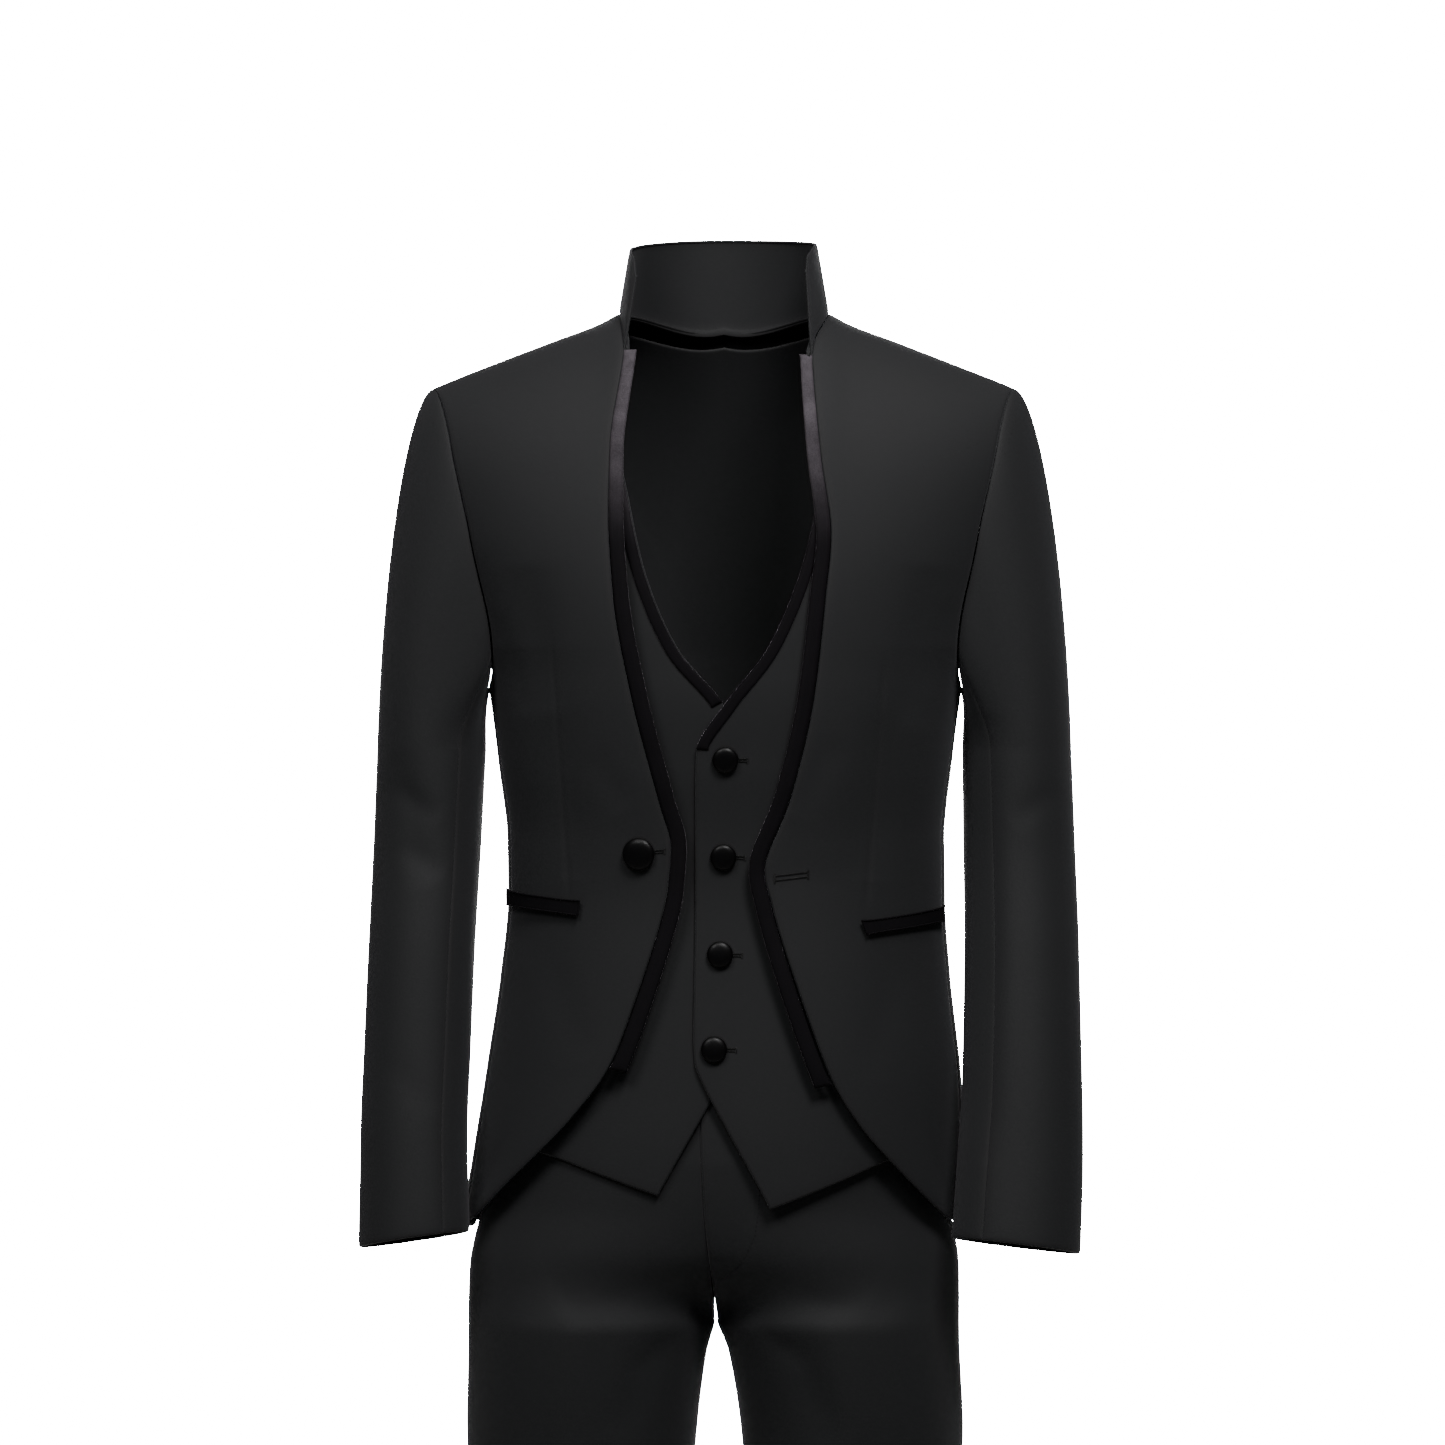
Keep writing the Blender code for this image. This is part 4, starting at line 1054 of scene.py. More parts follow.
def vest_back_form():
    """The surface of the waistcoat's back, from one side seam round to the other."""
    line = side_line(1, VEST_ARM, 360, 180, VEST_SIDE_HEM, 90)
    drop = 1 / 3

    def near(v):
        return line(np.where(v < drop, v / drop, 1 + (v - drop) / (1 - drop)))

    def far(v):
        angle, level = near(v)
        return 360 - angle, level

    def top(u):
        turn = 90 * (1 - 2 * np.clip((u - VEST_SHOULDER_SHARE) / (1 - 2 * VEST_SHOULDER_SHARE), 0, 1))
        angle, level = neck_point(np.abs(turn), VEST_NECK_HALF, VEST_NECK_SHARE, -WAISTCOAT_INSET)
        neck_angle, _ = neck_point(90.0, VEST_NECK_HALF, VEST_NECK_SHARE, -WAISTCOAT_INSET)
        tip_angle, _ = VEST_ARM(360.0)
        out = np.clip(np.minimum(u, 1 - u) / VEST_SHOULDER_SHARE, 0, 1)
        angle = np.where(out < 1, tip_angle + (neck_angle - tip_angle) * out, angle)
        level = np.where(out < 1, 0, level)
        return np.where(u < 0.5, angle, 360 - angle), level

    def hem(u):
        return 90 + 180 * u, VEST_SIDE_HEM + (VEST_BACK_HEM - VEST_SIDE_HEM) * np.sin(np.radians(180) * u)

    patch = spanned(near, far, top, hem)

    def at(u, v):
        angle, level = patch(u, v)
        return torso(angle, level, back_out(angle, -WAISTCOAT_INSET))

    return at


FORK_AT = curve(FORK, "share")
FLY_AT = {name: curve(FLY, name) for name in Fly._fields[1:]}


def trouser_form(rows, name, side, back):
    """The surface of a trouser panel from the side seam to the middle of the body and the inside leg."""
    at_leg = {field: curve(rows, field) for field in Leg._fields[1:]}

    def at(u, v):
        u, v = np.broadcast_arrays(u, v)
        height = BAND_FOOT + (TROUSER_HEM - BAND_FOOT) * v
        out = -TROUSER_INSET + HIP_EASE * (1 - smoothstep(height, *HIP_FADE))
        end = side * 180.0
        if not back:
            across = FLY_AT["across"](height) + (FLY_AT["lap"](height) if side < 0 else 0)
            end = place(across, height, out)[0]
            if side < 0:
                out = out - FLY_AT["sink"](height) * smoothstep(u, 1 - SINK_SHARE, 1 - SINK_SHARE / 3)
        angle = side * 90 + (end - side * 90) * u
        hips = torso(angle, height, back_out(angle, out))
        leg = {field: way(height) for field, way in at_leg.items()}
        turn = 180 * u
        crease = smoothstep(-height, *CREASE_FADE) * CREASE_RISE
        crease = crease * np.exp(-(((turn - CREASE_TURN[name]) / CREASE_HALF) ** 2))
        deep = (leg["back"] if back else -leg["front"]) + (crease if back else -crease)
        power = 2 / leg["square"]
        turn = np.radians(turn)
        across = leg["middle"] + side * leg["half"] * signed_power(np.cos(turn), power)
        thigh = np.stack([across, leg["forward"] + deep * signed_power(np.sin(turn), power), height], -1)
        share = FORK_AT(height)[..., None]
        return (1 - share) * hips + share * thigh

    return at


def places(count, length, steps=(0.5, 1.2, 2.4)):
    """Places from 0 to 1 over a length in millimetres, closer together near both ends."""
    ends = np.array([0, *steps]) / length
    inner = np.linspace(0, 1, count + 1)
    inner = inner[(inner > ends[-1] * 1.4) & (inner < 1 - ends[-1] * 1.4)]
    return np.concatenate([ends, inner, 1 - ends[::-1]])


def traced(form, columns=180, rows=420):
    """The same surface read off a close net that is worked out once, which is much quicker."""
    net = form(*np.meshgrid(np.linspace(0, 1, columns + 1), np.linspace(0, 1, rows + 1)))

    def at(u, v):
        u, v = np.broadcast_arrays(np.asarray(u, float) * columns, np.asarray(v, float) * rows)
        i, j = np.clip(u.astype(int), 0, columns - 1), np.clip(v.astype(int), 0, rows - 1)
        du, dv = (u - i)[..., None], (v - j)[..., None]
        upper = net[j, i] * (1 - du) + net[j, i + 1] * du
        lower = net[j + 1, i] * (1 - du) + net[j + 1, i + 1] * du
        return upper * (1 - dv) + lower * dv

    return at


def rolled(form, sink=None, reach=1.6):
    """A surface whose edges roll in, as a seam or a turned hem pulls them."""
    sink = bpy.context.scene.tuxedo_cloth.roll if sink is None else sink

    def at(u, v):
        points = form(u, v)
        zero, one = 0 * u, 0 * u + 1
        wide = np.linalg.norm(form(one, v) - form(zero, v), axis=-1)
        tall = np.linalg.norm(form(u, one) - form(u, zero), axis=-1)
        off = np.minimum(np.minimum(u, 1 - u) * wide, np.minimum(v, 1 - v) * tall)
        return points - outward(form, u, v) * (sink * np.exp(-off / reach))[..., None]

    return at


def pressed(form, lines, deep, half):
    """A surface with narrow sewn or pressed lines: each runs between two points seen from the front."""

    def at(u, v):
        points = form(u, v)
        push = np.zeros(points.shape[:-1])
        for x0, z0, x1, z1 in lines:
            start, way = np.array([x0, z0]), np.array([x1 - x0, z1 - z0])
            flat = points[..., [0, 2]] - start
            along = flat @ way / (way @ way)
            off = np.linalg.norm(flat - np.clip(along, 0, 1)[..., None] * way, axis=-1)
            begin, end = smoothstep(along, -0.02, 0.12), 1 - smoothstep(along, 0.9, 1.03)
            push += deep * np.exp(-((off / half) ** 2)) * begin * end
        return points - outward(form, u, v) * push[..., None]

    return at


# Allowances: how far the turned edge of a piece reaches past its seam line, and how deep it lies.
ALLOWANCE = (0.9, 1.0)
HEAD_ALLOWANCE = (6.0, 3.4)
COLLAR_ALLOWANCE = (6.0, 2.2)
SHOULDER_ALLOWANCE = (4.0, 2.0)
NECK_MORE = 5.1  # how much further than the usual one the allowance at a back's neck reaches
NECK_DEEP = 1.6
ARMHOLE_REACH = 14.0
ARMHOLE_DEEP = 3.2
ARMHOLE_START = 0.25  # the share of the reach at the shoulder point, and how fast it grows from there
ARMHOLE_GROWTH = 7.0


def armhole_allowance(down):
    """The allowance at an armhole, narrow at the shoulder point and wider below it."""
    return ARMHOLE_REACH * np.clip(ARMHOLE_START + ARMHOLE_GROWTH * down, 0, 1), ARMHOLE_DEEP


def turned_in(points, top=ALLOWANCE, foot=ALLOWANCE, first=ALLOWANCE, last=ALLOWANCE):
    """The net of a piece with its allowances turned in behind it, so that a seam shows no light."""
    down, across = np.gradient(points, axis=0), np.gradient(points, axis=1)
    out = np.cross(across, down)
    out /= np.maximum(np.linalg.norm(out, axis=-1), 1e-9)[..., None]

    def hem(edge, inner, way_out, allowance):
        way = edge - inner
        way /= np.maximum(np.linalg.norm(way, axis=-1), 1e-9)[..., None]
        return edge + way * np.asarray(allowance[0])[..., None] - way_out * allowance[1]

    left = hem(points[:, 0], points[:, 1], out[:, 0], first)[:, None]
    right = hem(points[:, -1], points[:, -2], out[:, -1], last)[:, None]
    points = np.concatenate([left, points, right], axis=1)
    out = np.concatenate([out[:, :1], out, out[:, -1:]], axis=1)
    upper = hem(points[0], points[1], out[0], top)[None]
    lower = hem(points[-1], points[-2], out[-1], foot)[None]
    return np.concatenate([upper, points, lower], axis=0)


def linked(name, data):
    """A new object of the scene that shows this data."""
    piece = bpy.data.objects.new(name, data)
    bpy.context.scene.collection.objects.link(piece)
    return piece


Laid = namedtuple("Laid", "piece wide tall area")


def lay(name, form, across, down, wall=CLOTH_WALL, finish_name="worsted_wool", **allowances):
    """Cloth laid on a surface, with its wall on the inner side and its cut in metres as its UV map."""
    u, v = np.meshgrid(across, down)
    points = turned_in(form(u, v), **allowances) * MM
    rows, columns = points.shape[:2]
    corner = np.arange(rows * columns).reshape(rows, columns)
    quads = np.stack([corner[:-1, :-1], corner[:-1, 1:], corner[1:, 1:], corner[1:, :-1]], -1).reshape(-1, 4)
    mesh = bpy.data.meshes.new(name)
    mesh.from_pydata(points.reshape(-1, 3), [], quads.tolist())
    steps_across = np.linalg.norm(np.diff(points, axis=1), axis=-1)
    steps_down = np.linalg.norm(np.diff(points, axis=0), axis=-1)
    middle = columns // 2
    flat_across = np.pad(np.cumsum(steps_across, axis=1), ((0, 0), (1, 0)))
    flat_across = flat_across - flat_across[:, middle : middle + 1]
    flat_down = np.pad(np.cumsum(steps_down[:, middle]), (1, 0))[:, None] + 0 * flat_across
    cut = np.stack([flat_across, flat_down], -1).reshape(-1, 2)
    corners = np.empty(len(mesh.loops), int)
    mesh.loops.foreach_get("vertex_index", corners)
    mesh.uv_layers.new(name="cloth").uv.foreach_set("vector", cut[corners].astype(np.float32).ravel())
    mesh.shade_smooth()
    mesh.materials.append(finish(finish_name))
    piece = linked(name, mesh)
    solid = piece.modifiers.new("Wall", "SOLIDIFY")
    solid.thickness = wall * MM
    solid.offset = -1
    area = float((steps_across[:-1] * steps_down[:, :-1]).sum())
    return Laid(piece, float(steps_across.sum(1).max()), float(steps_down.sum(0).max()), area)


def dress(laid, node, held, *rests_on):
    """A finished sheet takes the place of its solid."""
    piece = laid.piece
    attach(piece, "root")
    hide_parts(node)
    flat = (round(laid.wide + 0.002, 3), round(laid.tall + 0.002, 3))


def stitch_tree():
    """Stitches set along lines that carry the direction of the cloth under them."""
    tree = bpy.data.node_groups.get("stitched_line")
    if tree:
        return tree
    tree = bpy.data.node_groups.new("stitched_line", "GeometryNodeTree")
    face = tree.interface
    face.new_socket("Lines", in_out="INPUT", socket_type="NodeSocketGeometry")
    for name in ("Stitch", "Gap", "Thread", "Turn"):
        face.new_socket(name, in_out="INPUT", socket_type="NodeSocketFloat")
    face.new_socket("Finish", in_out="INPUT", socket_type="NodeSocketMaterial")
    face.new_socket("Stitches", in_out="OUTPUT", socket_type="NodeSocketGeometry")

    def add(kind, settings=None, **feeds):
        node = tree.nodes.new(kind)
        for key, value in (settings or {}).items():
            setattr(node, key, value)
        for key, value in feeds.items():
            socket = node.inputs[key.replace("_", " ")]
            if isinstance(value, bpy.types.NodeSocket):
                tree.links.new(value, socket)
            else:
                socket.default_value = value
        return node

    given = tree.nodes.new("NodeGroupInput").outputs
    step = add("ShaderNodeMath", {"operation": "ADD"})
    tree.links.new(given["Stitch"], step.inputs[0])
    tree.links.new(given["Gap"], step.inputs[1])
    lines = add("GeometryNodeMeshToCurve", Mesh=given["Lines"])
    evenly = add(
        "GeometryNodeResampleCurve", {"mode": "LENGTH"}, Curve=lines.outputs[0], Length=step.outputs[0]
    )
    along = add("GeometryNodeInputTangent")
    out = add("GeometryNodeInputNamedAttribute", {"data_type": "FLOAT_VECTOR"}, Name="out")
    first = add("FunctionNodeAlignRotationToVector", {"axis": "X"}, Vector=along.outputs[0])
    second = add(
        "FunctionNodeAlignRotationToVector", {"axis": "Z", "pivot_axis": "X"},
        Rotation=first.outputs[0], Vector=out.outputs[0],
    )
    turn = add("FunctionNodeAxisAngleToRotation", Axis=(0, 0, 1), Angle=given["Turn"])
    turned = add(
        "FunctionNodeRotateRotation", {"rotation_space": "LOCAL"},
        Rotation=second.outputs[0], Rotate_By=turn.outputs[0],
    )
    bead = add("GeometryNodeMeshUVSphere", Segments=6, Rings=5, Radius=0.5)
    size = add("ShaderNodeCombineXYZ")
    for socket, value in zip(size.inputs, (given["Stitch"], given["Thread"], given["Thread"])):
        tree.links.new(value, socket)
    placed = add(
        "GeometryNodeInstanceOnPoints", Points=evenly.outputs[0], Instance=bead.outputs[0],
        Rotation=turned.outputs[0], Scale=size.outputs[0],
    )
    real = add("GeometryNodeRealizeInstances", Geometry=placed.outputs[0])
    smooth = add("GeometryNodeSetShadeSmooth", Geometry=real.outputs[0])
    finished = add("GeometryNodeSetMaterial", Geometry=smooth.outputs[0], Material=given["Finish"])
    tree.links.new(finished.outputs[0], tree.nodes.new("NodeGroupOutput").inputs[0])
    return tree


# Stitches in metres: how long one is, the room to the next, which overlaps if less than 0, and how thick.
WELT_STITCH = (0.0018, 0.0006, 0.0004)
LIP_STITCH = (0.0019, -0.0014, 0.0006)
BAR_STITCH = (0.0016, -0.0012, 0.0007)
SHANK_STITCH = (0.0006, -0.0003, 0.0007)


def sew(name, lines, stitch=None, turn=0.0):
    """Stitches along lines, each a row of points on the cloth in millimetres with its way out."""
    settings = bpy.context.scene.tuxedo_stitches
    length, gap, thick = stitch or (settings.length, settings.gap, settings.thick)
    verts, edges, outs = [], [], []
    for points, out in lines:
        first = len(verts)
        verts += list(points * MM)
        outs += list(out)
        edges += [(i, i + 1) for i in range(first, first + len(points) - 1)]
    mesh = bpy.data.meshes.new(name)
    mesh.from_pydata(verts, edges, [])
    way = mesh.attributes.new("out", "FLOAT_VECTOR", "POINT")
    way.data.foreach_set("vector", np.array(outs, np.float32).ravel())
    piece = linked(name, mesh)
    tree = stitch_tree()
    stitched = piece.modifiers.new("Stitches", "NODES")
    stitched.node_group = tree
    values = {
        "Stitch": length,
        "Gap": gap,
        "Thread": thick,
        "Turn": turn,
        "Finish": finish("black_thread"),
    }
    for item in tree.interface.items_tree:
        if item.in_out == "INPUT" and item.name in values:
            stitched[item.identifier] = values[item.name]
    graph = bpy.context.evaluated_depsgraph_get()
    sewn = bpy.data.meshes.new_from_object(piece.evaluated_get(graph))
    sewn.name = name
    piece.modifiers.clear()
    piece.data = sewn
    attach(piece, "root")


def line_on(form, points, lift=0.1, count=None):
    """A line on a surface through points seen from the front, with the surface's way out."""
    spots = [spot(form, *point) for point in points]
    steps = np.linspace(0, len(spots) - 1, count or 12 * len(spots))
    u = np.interp(steps, range(len(spots)), [place[0] for place in spots])
    v = np.interp(steps, range(len(spots)), [place[1] for place in spots])
    out = outward(form, u, v)
    return form(u, v) + out * lift, out


def buttonhole(name, form, start, end, wide=0.95):
    """A worked buttonhole: close bars along both lips and a bar across each end."""
    (x0, z0), (x1, z1) = start, end
    way = np.array([x1 - x0, z1 - z0])
    side = np.array([-way[1], way[0]]) / np.linalg.norm(way) * wide
    lips = []
    for sign in (-1, 1):
        first, last = np.array(start) + side * sign, np.array(end) + side * sign
        lips.append(line_on(form, [first, (first + last) / 2, last], 0.12))
    sew(f"{name}_lips", lips, LIP_STITCH, np.radians(90))
    bars = []
    for x, z in (start, end):
        bars.append(line_on(form, [(x, z - 2 * wide), (x, z + 2 * wide)], 0.2))
    sew(f"{name}_bars", bars, BAR_STITCH, np.radians(90))


# Soft folds of the worn cloth: garment, side, from and to as seen from there, depth and half breadth.
DRAPES = table(
    Fold,
    ("jacket", "front", -168, -225, -150, -300, 1.4, 9),
    ("jacket", "front", 172, -215, 160, -285, 1.1, 8),
    ("jacket", "front", -96, -330, -70, -372, 0.9, 11),
    ("jacket", "front", 88, -318, 58, -376, 1.0, 12),
    ("jacket", "front", -132, -470, -104, -560, 0.9, 14),
    ("jacket", "front", 134, -480, 112, -575, 1.0, 15),
    ("jacket", "back", -60, -30, -100, -120, 0.9, 22),
    ("jacket", "back", 70, -36, 112, -130, 1.1, 20),
    ("jacket", "back", -70, -380, -40, -450, 1.2, 12),
    ("jacket", "back", 78, -372, 44, -440, 1.4, 12),
    ("jacket", "back", -118, -400, -88, -470, 0.9, 10),
    ("sleeve", "front", -252, -352, -212, -380, 1.5, 9),
    ("sleeve", "front", -246, -398, -208, -420, 1.1, 9),
    ("sleeve", "front", 258, -356, 220, -382, 1.2, 10),
    ("sleeve", "front", -250, -560, -214, -600, 0.7, 12),
    ("sleeve", "back", -250, -345, -206, -372, 1.7, 9),
    ("sleeve", "back", 256, -352, 212, -380, 1.9, 9),
    ("sleeve", "back", 254, -400, 214, -424, 1.2, 9),
    ("waistcoat", "front", -40, -400, -110, -452, 0.9, 10),
    ("waistcoat", "front", 30, -460, 96, -500, 0.8, 11),
    ("waistcoat", "back", -60, -330, 40, -372, 1.6, 12),
    ("waistcoat", "back", 74, -400, -30, -452, 1.4, 12),
    ("trousers", "front", 14, -752, 66, -790, 2.0, 8),
    ("trousers", "front", 20, -724, 110, -752, 1.1, 9),
    ("trousers", "front", -18, -756, -70, -800, 1.6, 9),
    ("trousers", "front", -22, -722, -96, -742, 0.9, 9),
    ("trousers", "front", 66, -1060, 132, -1082, 1.3, 12),
    ("trousers", "front", -70, -1052, -128, -1078, 1.1, 12),
    ("trousers", "back", -30, -770, -90, -812, 2.2, 9),
    ("trousers", "back", 26, -766, 96, -806, 2.4, 9),
    ("trousers", "back", -60, -1040, -140, -1066, 2.0, 10),
    ("trousers", "back", 58, -1044, 140, -1074, 2.3, 10),
    ("trousers", "back", 66, -1100, 132, -1120, 1.4, 10),
)
FOLDS += DRAPES

# Darts of the fronts, from their upper to their lower end seen from the front.
DARTS = {"right": [(-127, -240, -113.5, -441)], "left": [(124, -257, 110, -448)]}
VEST_DARTS = {"right": [(-78, -300, -72, -560)], "left": [(78, -296, 70, -560)]}

# Both fronts of a garment, with the side each is on and how much further in a waistcoat's lies.
JACKET_EDGES = (("left", LEFT_FRONT, 1), ("right", RIGHT_FRONT, -1))
VEST_EDGES = (("left", VEST_LEFT, 1, 0), ("right", VEST_RIGHT, -1, UNDER_LAP))
JACKET_FRONTS = {}
VEST_FRONTS = {}


def jacket_fronts():
    """The finished surfaces of the jacket's fronts, worked out once."""
    for name, rows, side in JACKET_EDGES:
        if name not in JACKET_FRONTS:
            form = folded(traced(facing_out(drawn_in(front_form(rows, side)), side)), "jacket")
            JACKET_FRONTS[name] = traced(pressed(rolled(traced(form)), DARTS[name], 0.8, 1.7))
    return JACKET_FRONTS


def vest_fronts():
    """The finished surfaces of the waistcoat's fronts, worked out once."""
    for name, rows, side, under in VEST_EDGES:
        if name not in VEST_FRONTS:
            form = folded(traced(facing_out(drawn_in(vest_front_form(rows, side, under)), side)), "waistcoat")
            VEST_FRONTS[name] = traced(pressed(rolled(traced(form), 0.5), VEST_DARTS[name], 0.5, 1.6))
    return VEST_FRONTS


def worn(form, garment, sink=None):
    """A surface with its folds and its rolled edges, worked out once."""
    return rolled(traced(folded(traced(form), garment)), sink)


class TUXEDO_OT_jacket_body(bpy.types.Operator):
    """Fronts with their darts, side bodies and backs of the jacket"""

    bl_idname = "tuxedo.jacket_body"
    bl_label = "Jacket body"

    def execute(self, context):
        for name, form in jacket_fronts().items():
            down = places(190, 690)
            far = {"first" if name == "left" else "last": armhole_allowance(down)}
            laid = lay(f"front_panel_{name}", form, places(76, 175), down, **far)
            dress(laid, f"jacket_front_{name}", "hung", f"jacket_side_{name}")
        for name, side in (("left", 1), ("right", -1)):
            form = worn(facing_out(drawn_in(side_form(side), sides=SEAM), side), "jacket")
            laid = lay(f"side_panel_{name}", form, places(26, 80), places(110, 400))
            dress(laid, f"jacket_side_{name}", "hung", f"front_panel_{name}")
            form = worn(facing_out(drawn_in(back_form(side)), -side), "jacket")
            down = places(170, 690)
            neck, arm = (ALLOWANCE[0] + NECK_MORE * (down < NECK_ROWS), NECK_DEEP), armhole_allowance(down)
            first, last = (neck, arm) if name == "left" else (arm, neck)
            laid = lay(
                f"back_panel_{name}", form, places(60, 200), down,
                top=SHOULDER_ALLOWANCE, first=first, last=last,
            )
            dress(laid, f"jacket_back_{name}", "hung", f"side_panel_{name}")
        return {"FINISHED"}


class TUXEDO_OT_sleeves(bpy.types.Operator):
    """Two-piece sleeves with their heads set into the armholes"""

    bl_idname = "tuxedo.sleeves"
    bl_label = "Sleeves"

    def execute(self, context):
        for name, rows, side in (("left", LEFT_SLEEVE, 1), ("right", RIGHT_SLEEVE, -1)):
            for part, end, wide in (("top", HIND_SEAM - 360, 260), ("under", HIND_SEAM, 150)):
                form = drawn_in(sleeve_form(rows, side, FRONT_SEAM, end), ends=0)
                faces_out = side > 0 if part == "under" else side < 0
                form = worn(form if faces_out else mirrored(form), "sleeve")
                columns = places(84 if part == "top" else 44, wide)
                laid = lay(f"{part}_of_sleeve_{name}", form, columns, places(150, 640), top=HEAD_ALLOWANCE)
                dress(laid, f"{part}_sleeve_{name}", "hung", f"front_panel_{name}")
        return {"FINISHED"}


class TUXEDO_OT_collar(bpy.types.Operator):
    """Stand collar of the jacket"""

    bl_idname = "tuxedo.collar"
    bl_label = "Collar"

    def execute(self, context):
        form = rolled(traced(mirrored(collar_form())), 0.6)
        laid = lay("stand_collar", form, places(140, 330), places(22, 62), top=COLLAR_ALLOWANCE)
        dress(laid, "jacket_collar", "stretched", "back_panel_left", "back_panel_right")
        return {"FINISHED"}


def crowned(form, crown):
    """A band that stands up at its middle, like cloth turned over a cord."""

    def at(u, v):
        ends = 1 - np.abs(2 * v - 1) ** 60
        sink = crown * (np.abs(2 * u - 1) ** 3.2 * ends + (1 - ends))
        return form(u, v) - outward(form, u, v) * sink[..., None]

    return at


def level_end(form, skew):
    """A band whose lower end is cut level, so its free edge stops a little sooner."""
    return lambda u, v: form(u, v - skew * u * smoothstep(v, 0.8, 1.0))


class TUXEDO_OT_velvet_trim(bpy.types.Operator):
    """Velvet bands along the fronts of the jacket and bindings along the neck of the waistcoat"""

    bl_idname = "tuxedo.velvet_trim"
    bl_label = "Velvet trim"

    def execute(self, context):
        crown = context.scene.tuxedo_velvet.crown
        wide = curve(TRIM, "wide")
        for name, rows, side in JACKET_EDGES:
            lift = by_row(rows, "lift")
            proud = lambda at, lift=lift: lift(at) + VELVET_PROUD
            form = level_end(strip(rows, TRIM_START, TRIM_END, wide, side, proud), BAND_SKEW)
            form = crowned(traced(facing_out(drawn_in(form, sides=SEAM, ends=0), -side), 40, 600), crown)
            net = np.linspace(0, 1, 13), np.linspace(0, 1, 240)
            laid = lay(f"velvet_band_{name}", form, *net, TRIM_WALL, "black_velvet")
            dress(laid, f"front_trim_{name}", "stretched", f"front_panel_{name}")
        for name, rows, side, under in VEST_EDGES:
            out = SEAM + BINDING_WALL - WAISTCOAT_INSET - under
            wide = lambda row: BINDING_WIDE + 0 * row
            form = strip(rows, 0.0, BINDING_ENDS[name], wide, -side, lambda at, out=out: out + 0 * at)
            form = crowned(traced(facing_out(drawn_in(form, sides=0, ends=0.6), side), 40, 600), crown * 0.5)
            net = np.linspace(0, 1, 9), np.linspace(0, 1, 130)
            laid = lay(f"neck_edge_{name}", form, *net, EDGE_WALL, "black_velvet")
            dress(laid, f"neck_binding_{name}", "stretched", f"vest_panel_{name}")
        return {"FINISHED"}


class TUXEDO_OT_pockets(bpy.types.Operator):
    """Welts of the two pockets with their stitched edges"""

    bl_idname = "tuxedo.pockets"
    bl_label = "Pockets"

    def execute(self, context):
        fronts = jacket_fronts()
        for name, corners in WELTS.items():
            form = laid_on(fronts[name], corners, SEAM + WELT_WALL)
            form = crowned(traced(form, 80, 20), 0.5)
            net = places(60, 60, (0.5, 1.2)), places(12, 12, (0.4, 1))
            laid = lay(f"welt_{name}", form, *net, WELT_CLOTH_WALL, "black_velvet")
            dress(laid, f"pocket_welt_{name}", "stretched", f"front_panel_{name}")
            row = np.linspace(0.02, 0.98, 40)
            lines = []
            for v in (0.12, 0.88):
                place = np.full_like(row, v)
                out = outward(form, row, place)
                lines.append((form(row, place) + out * 0.05, out))
            for u in (0.02, 0.98):
                place = np.linspace(0.1, 0.9, 8)
                out = outward(form, np.full_like(place, u), place)
                lines.append((form(np.full_like(place, u), place) + out * 0.05, out))
            sew(f"welt_stitches_{name}", lines, WELT_STITCH)
        return {"FINISHED"}


class TUXEDO_OT_waistcoat(bpy.types.Operator):
    """Fronts of the waistcoat with their darts, and its back"""

    bl_idname = "tuxedo.waistcoat"
    bl_label = "Waistcoat"

    def execute(self, context):
        for name, form in vest_fronts().items():
            laid = lay(f"vest_panel_{name}", form, places(64, 170), places(160, 640))
            dress(laid, f"waistcoat_front_{name}", "hung", "vest_back")
        form = worn(drawn_in(vest_back_form()), "waistcoat", 0.5)
        laid = lay("vest_back", form, places(110, 400), places(110, 600))
        dress(laid, "waistcoat_back", "hung", "vest_panel_left", "vest_panel_right")
        return {"FINISHED"}


# The turned section of a button, by shares of its half breadth and of its breadth.
BUTTON_FACE = (
    (0.0, 0.235), (0.2, 0.233), (0.4, 0.226), (0.6, 0.21), (0.75, 0.19), (0.86, 0.162), (0.94, 0.125),
    (0.985, 0.085), (0.99, 0.055), (0.95, 0.03), (0.85, 0.012), (0.6, 0.004), (0.3, 0.0), (0.0, 0.0),
)


